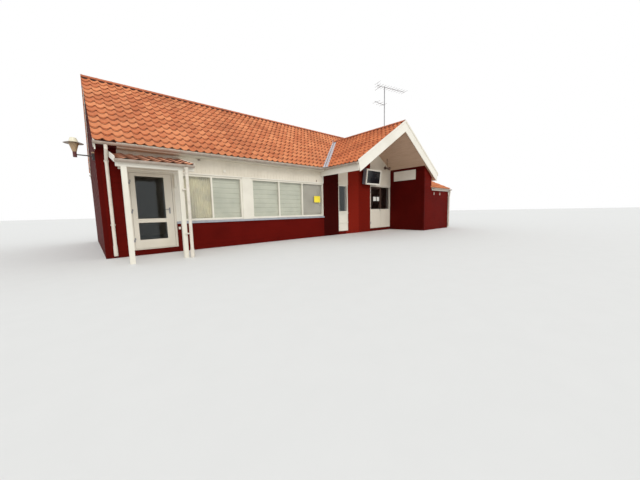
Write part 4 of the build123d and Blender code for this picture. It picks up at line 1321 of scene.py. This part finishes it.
# %% [markdown]
# ## Small fittings on the front
#
# A few small things sit on the walls: two little lamps, a box beside the porch door, a
# bracket, a hook, and a plain card and papers on the glass. Each is a bevelled box with its
# back on the surface that carries it.

# %% Fittings
def fittings(name, boxes, soft, finish, body="building"):
    """Boxes with softened edges, each between two corners, as one piece."""
    bm = bmesh.new()
    for low, high in boxes:
        box = bmesh.new()
        block(box, low, high)
        bmesh.ops.recalc_face_normals(box, faces=box.faces[:])
        bmesh.ops.bevel(
            box, geom=box.edges[:], offset=soft, affect="EDGES", segments=2, profile=0.5, material=-1,
        )
        pour(bm, box)
    piece(name, bm, finish, body=body)


frieze_lamp = (3.15, -0.040, 2.42), (3.24, -0.008, 2.51)
low_lamp = (1.72, -0.045, 0.66), (1.77, -0.008, 0.73)
door_box = (1.695, -0.060, 1.86), (1.745, -0.001, 2.24)
bracket = (2.39, -0.060, 2.72), (2.45, -0.008, 2.75)
frieze_hook = (7.14, -0.030, 2.34), (7.16, -0.012, 2.42)
card = (7.06, 0.0475, 1.48), (7.40, 0.0495, 1.75)
left_paper = (11.13, 0.0275, 1.58), (11.35, 0.0305, 1.80)
right_paper = (11.42, 0.0275, 1.58), (11.64, 0.0305, 1.80)
fittings("small_lamps", (frieze_lamp, low_lamp, door_box), 0.004, white_upright)
fittings("dark_brackets", (bracket, frieze_hook), 0.003, speaker_paint)
fittings("window_card", (card,), 0.0004, yellow_card)
fittings("door_papers", (left_paper, right_paper), 0.0004, paper, "platform_door")
print("fittings placed")

# %% [markdown]
# ## Floor, light and sky
#
# A pale floor and a white surround keep the eye on the building. One wide, soft sun stands
# in front and a little to the left, about 36 degrees up. The world fills the shadows with a
# slightly cool light. What the camera and the glass see of it is white, whatever it lends.

# %% Stage
pale_floor, shader = material("pale_floor")
speckle = shader.noise(3.0, detail=4.0)
colour = (speckle * 0.5).mix(screen(222, 221, 218), screen(214, 213, 210))
finish_surface(shader, colour, speckle * 0.1 + 0.8)
bm = bmesh.new()
bmesh.ops.create_grid(bm, x_segments=1, y_segments=1, size=150)
put("floor", bm, pale_floor)

world = bpy.data.worlds.new("studio")
world.use_nodes = True
scene.world = world
sky = Shader(world.node_tree)
seen_by = ("Is Camera Ray", "Is Glossy Ray", "Is Transmission Ray")
rays = [sky.node("LightPath", output=name) for name in seen_by]
seen = (rays[0] + rays[1] + rays[2]).at_most(1.0)
fill = sky.node("Background", {"Color": (0.94, 0.97, 1.0, 1.0), "Strength": 0.97})
white = sky.node("Background", {"Color": (1.0, 1.0, 1.0, 1.0), "Strength": 1.0})
mixed = sky.node("MixShader", {0: seen, 1: fill, 2: white})
sky.node("OutputWorld", {"Surface": mixed})

toward_sun = Vector((-0.2, -1.0, 0.75))
sun = bpy.data.objects.new("sun", bpy.data.lights.new("sun", "SUN"))
sun.data.energy = 1.1
sun.data.angle = radians(30)
sun.data.color = (1.0, 0.975, 0.93)
sun.rotation_euler = toward_sun.to_track_quat("Z", "Y").to_euler()
scene.collection.objects.link(sun)
print("lights:", sun.name, round(sun.data.energy, 2))
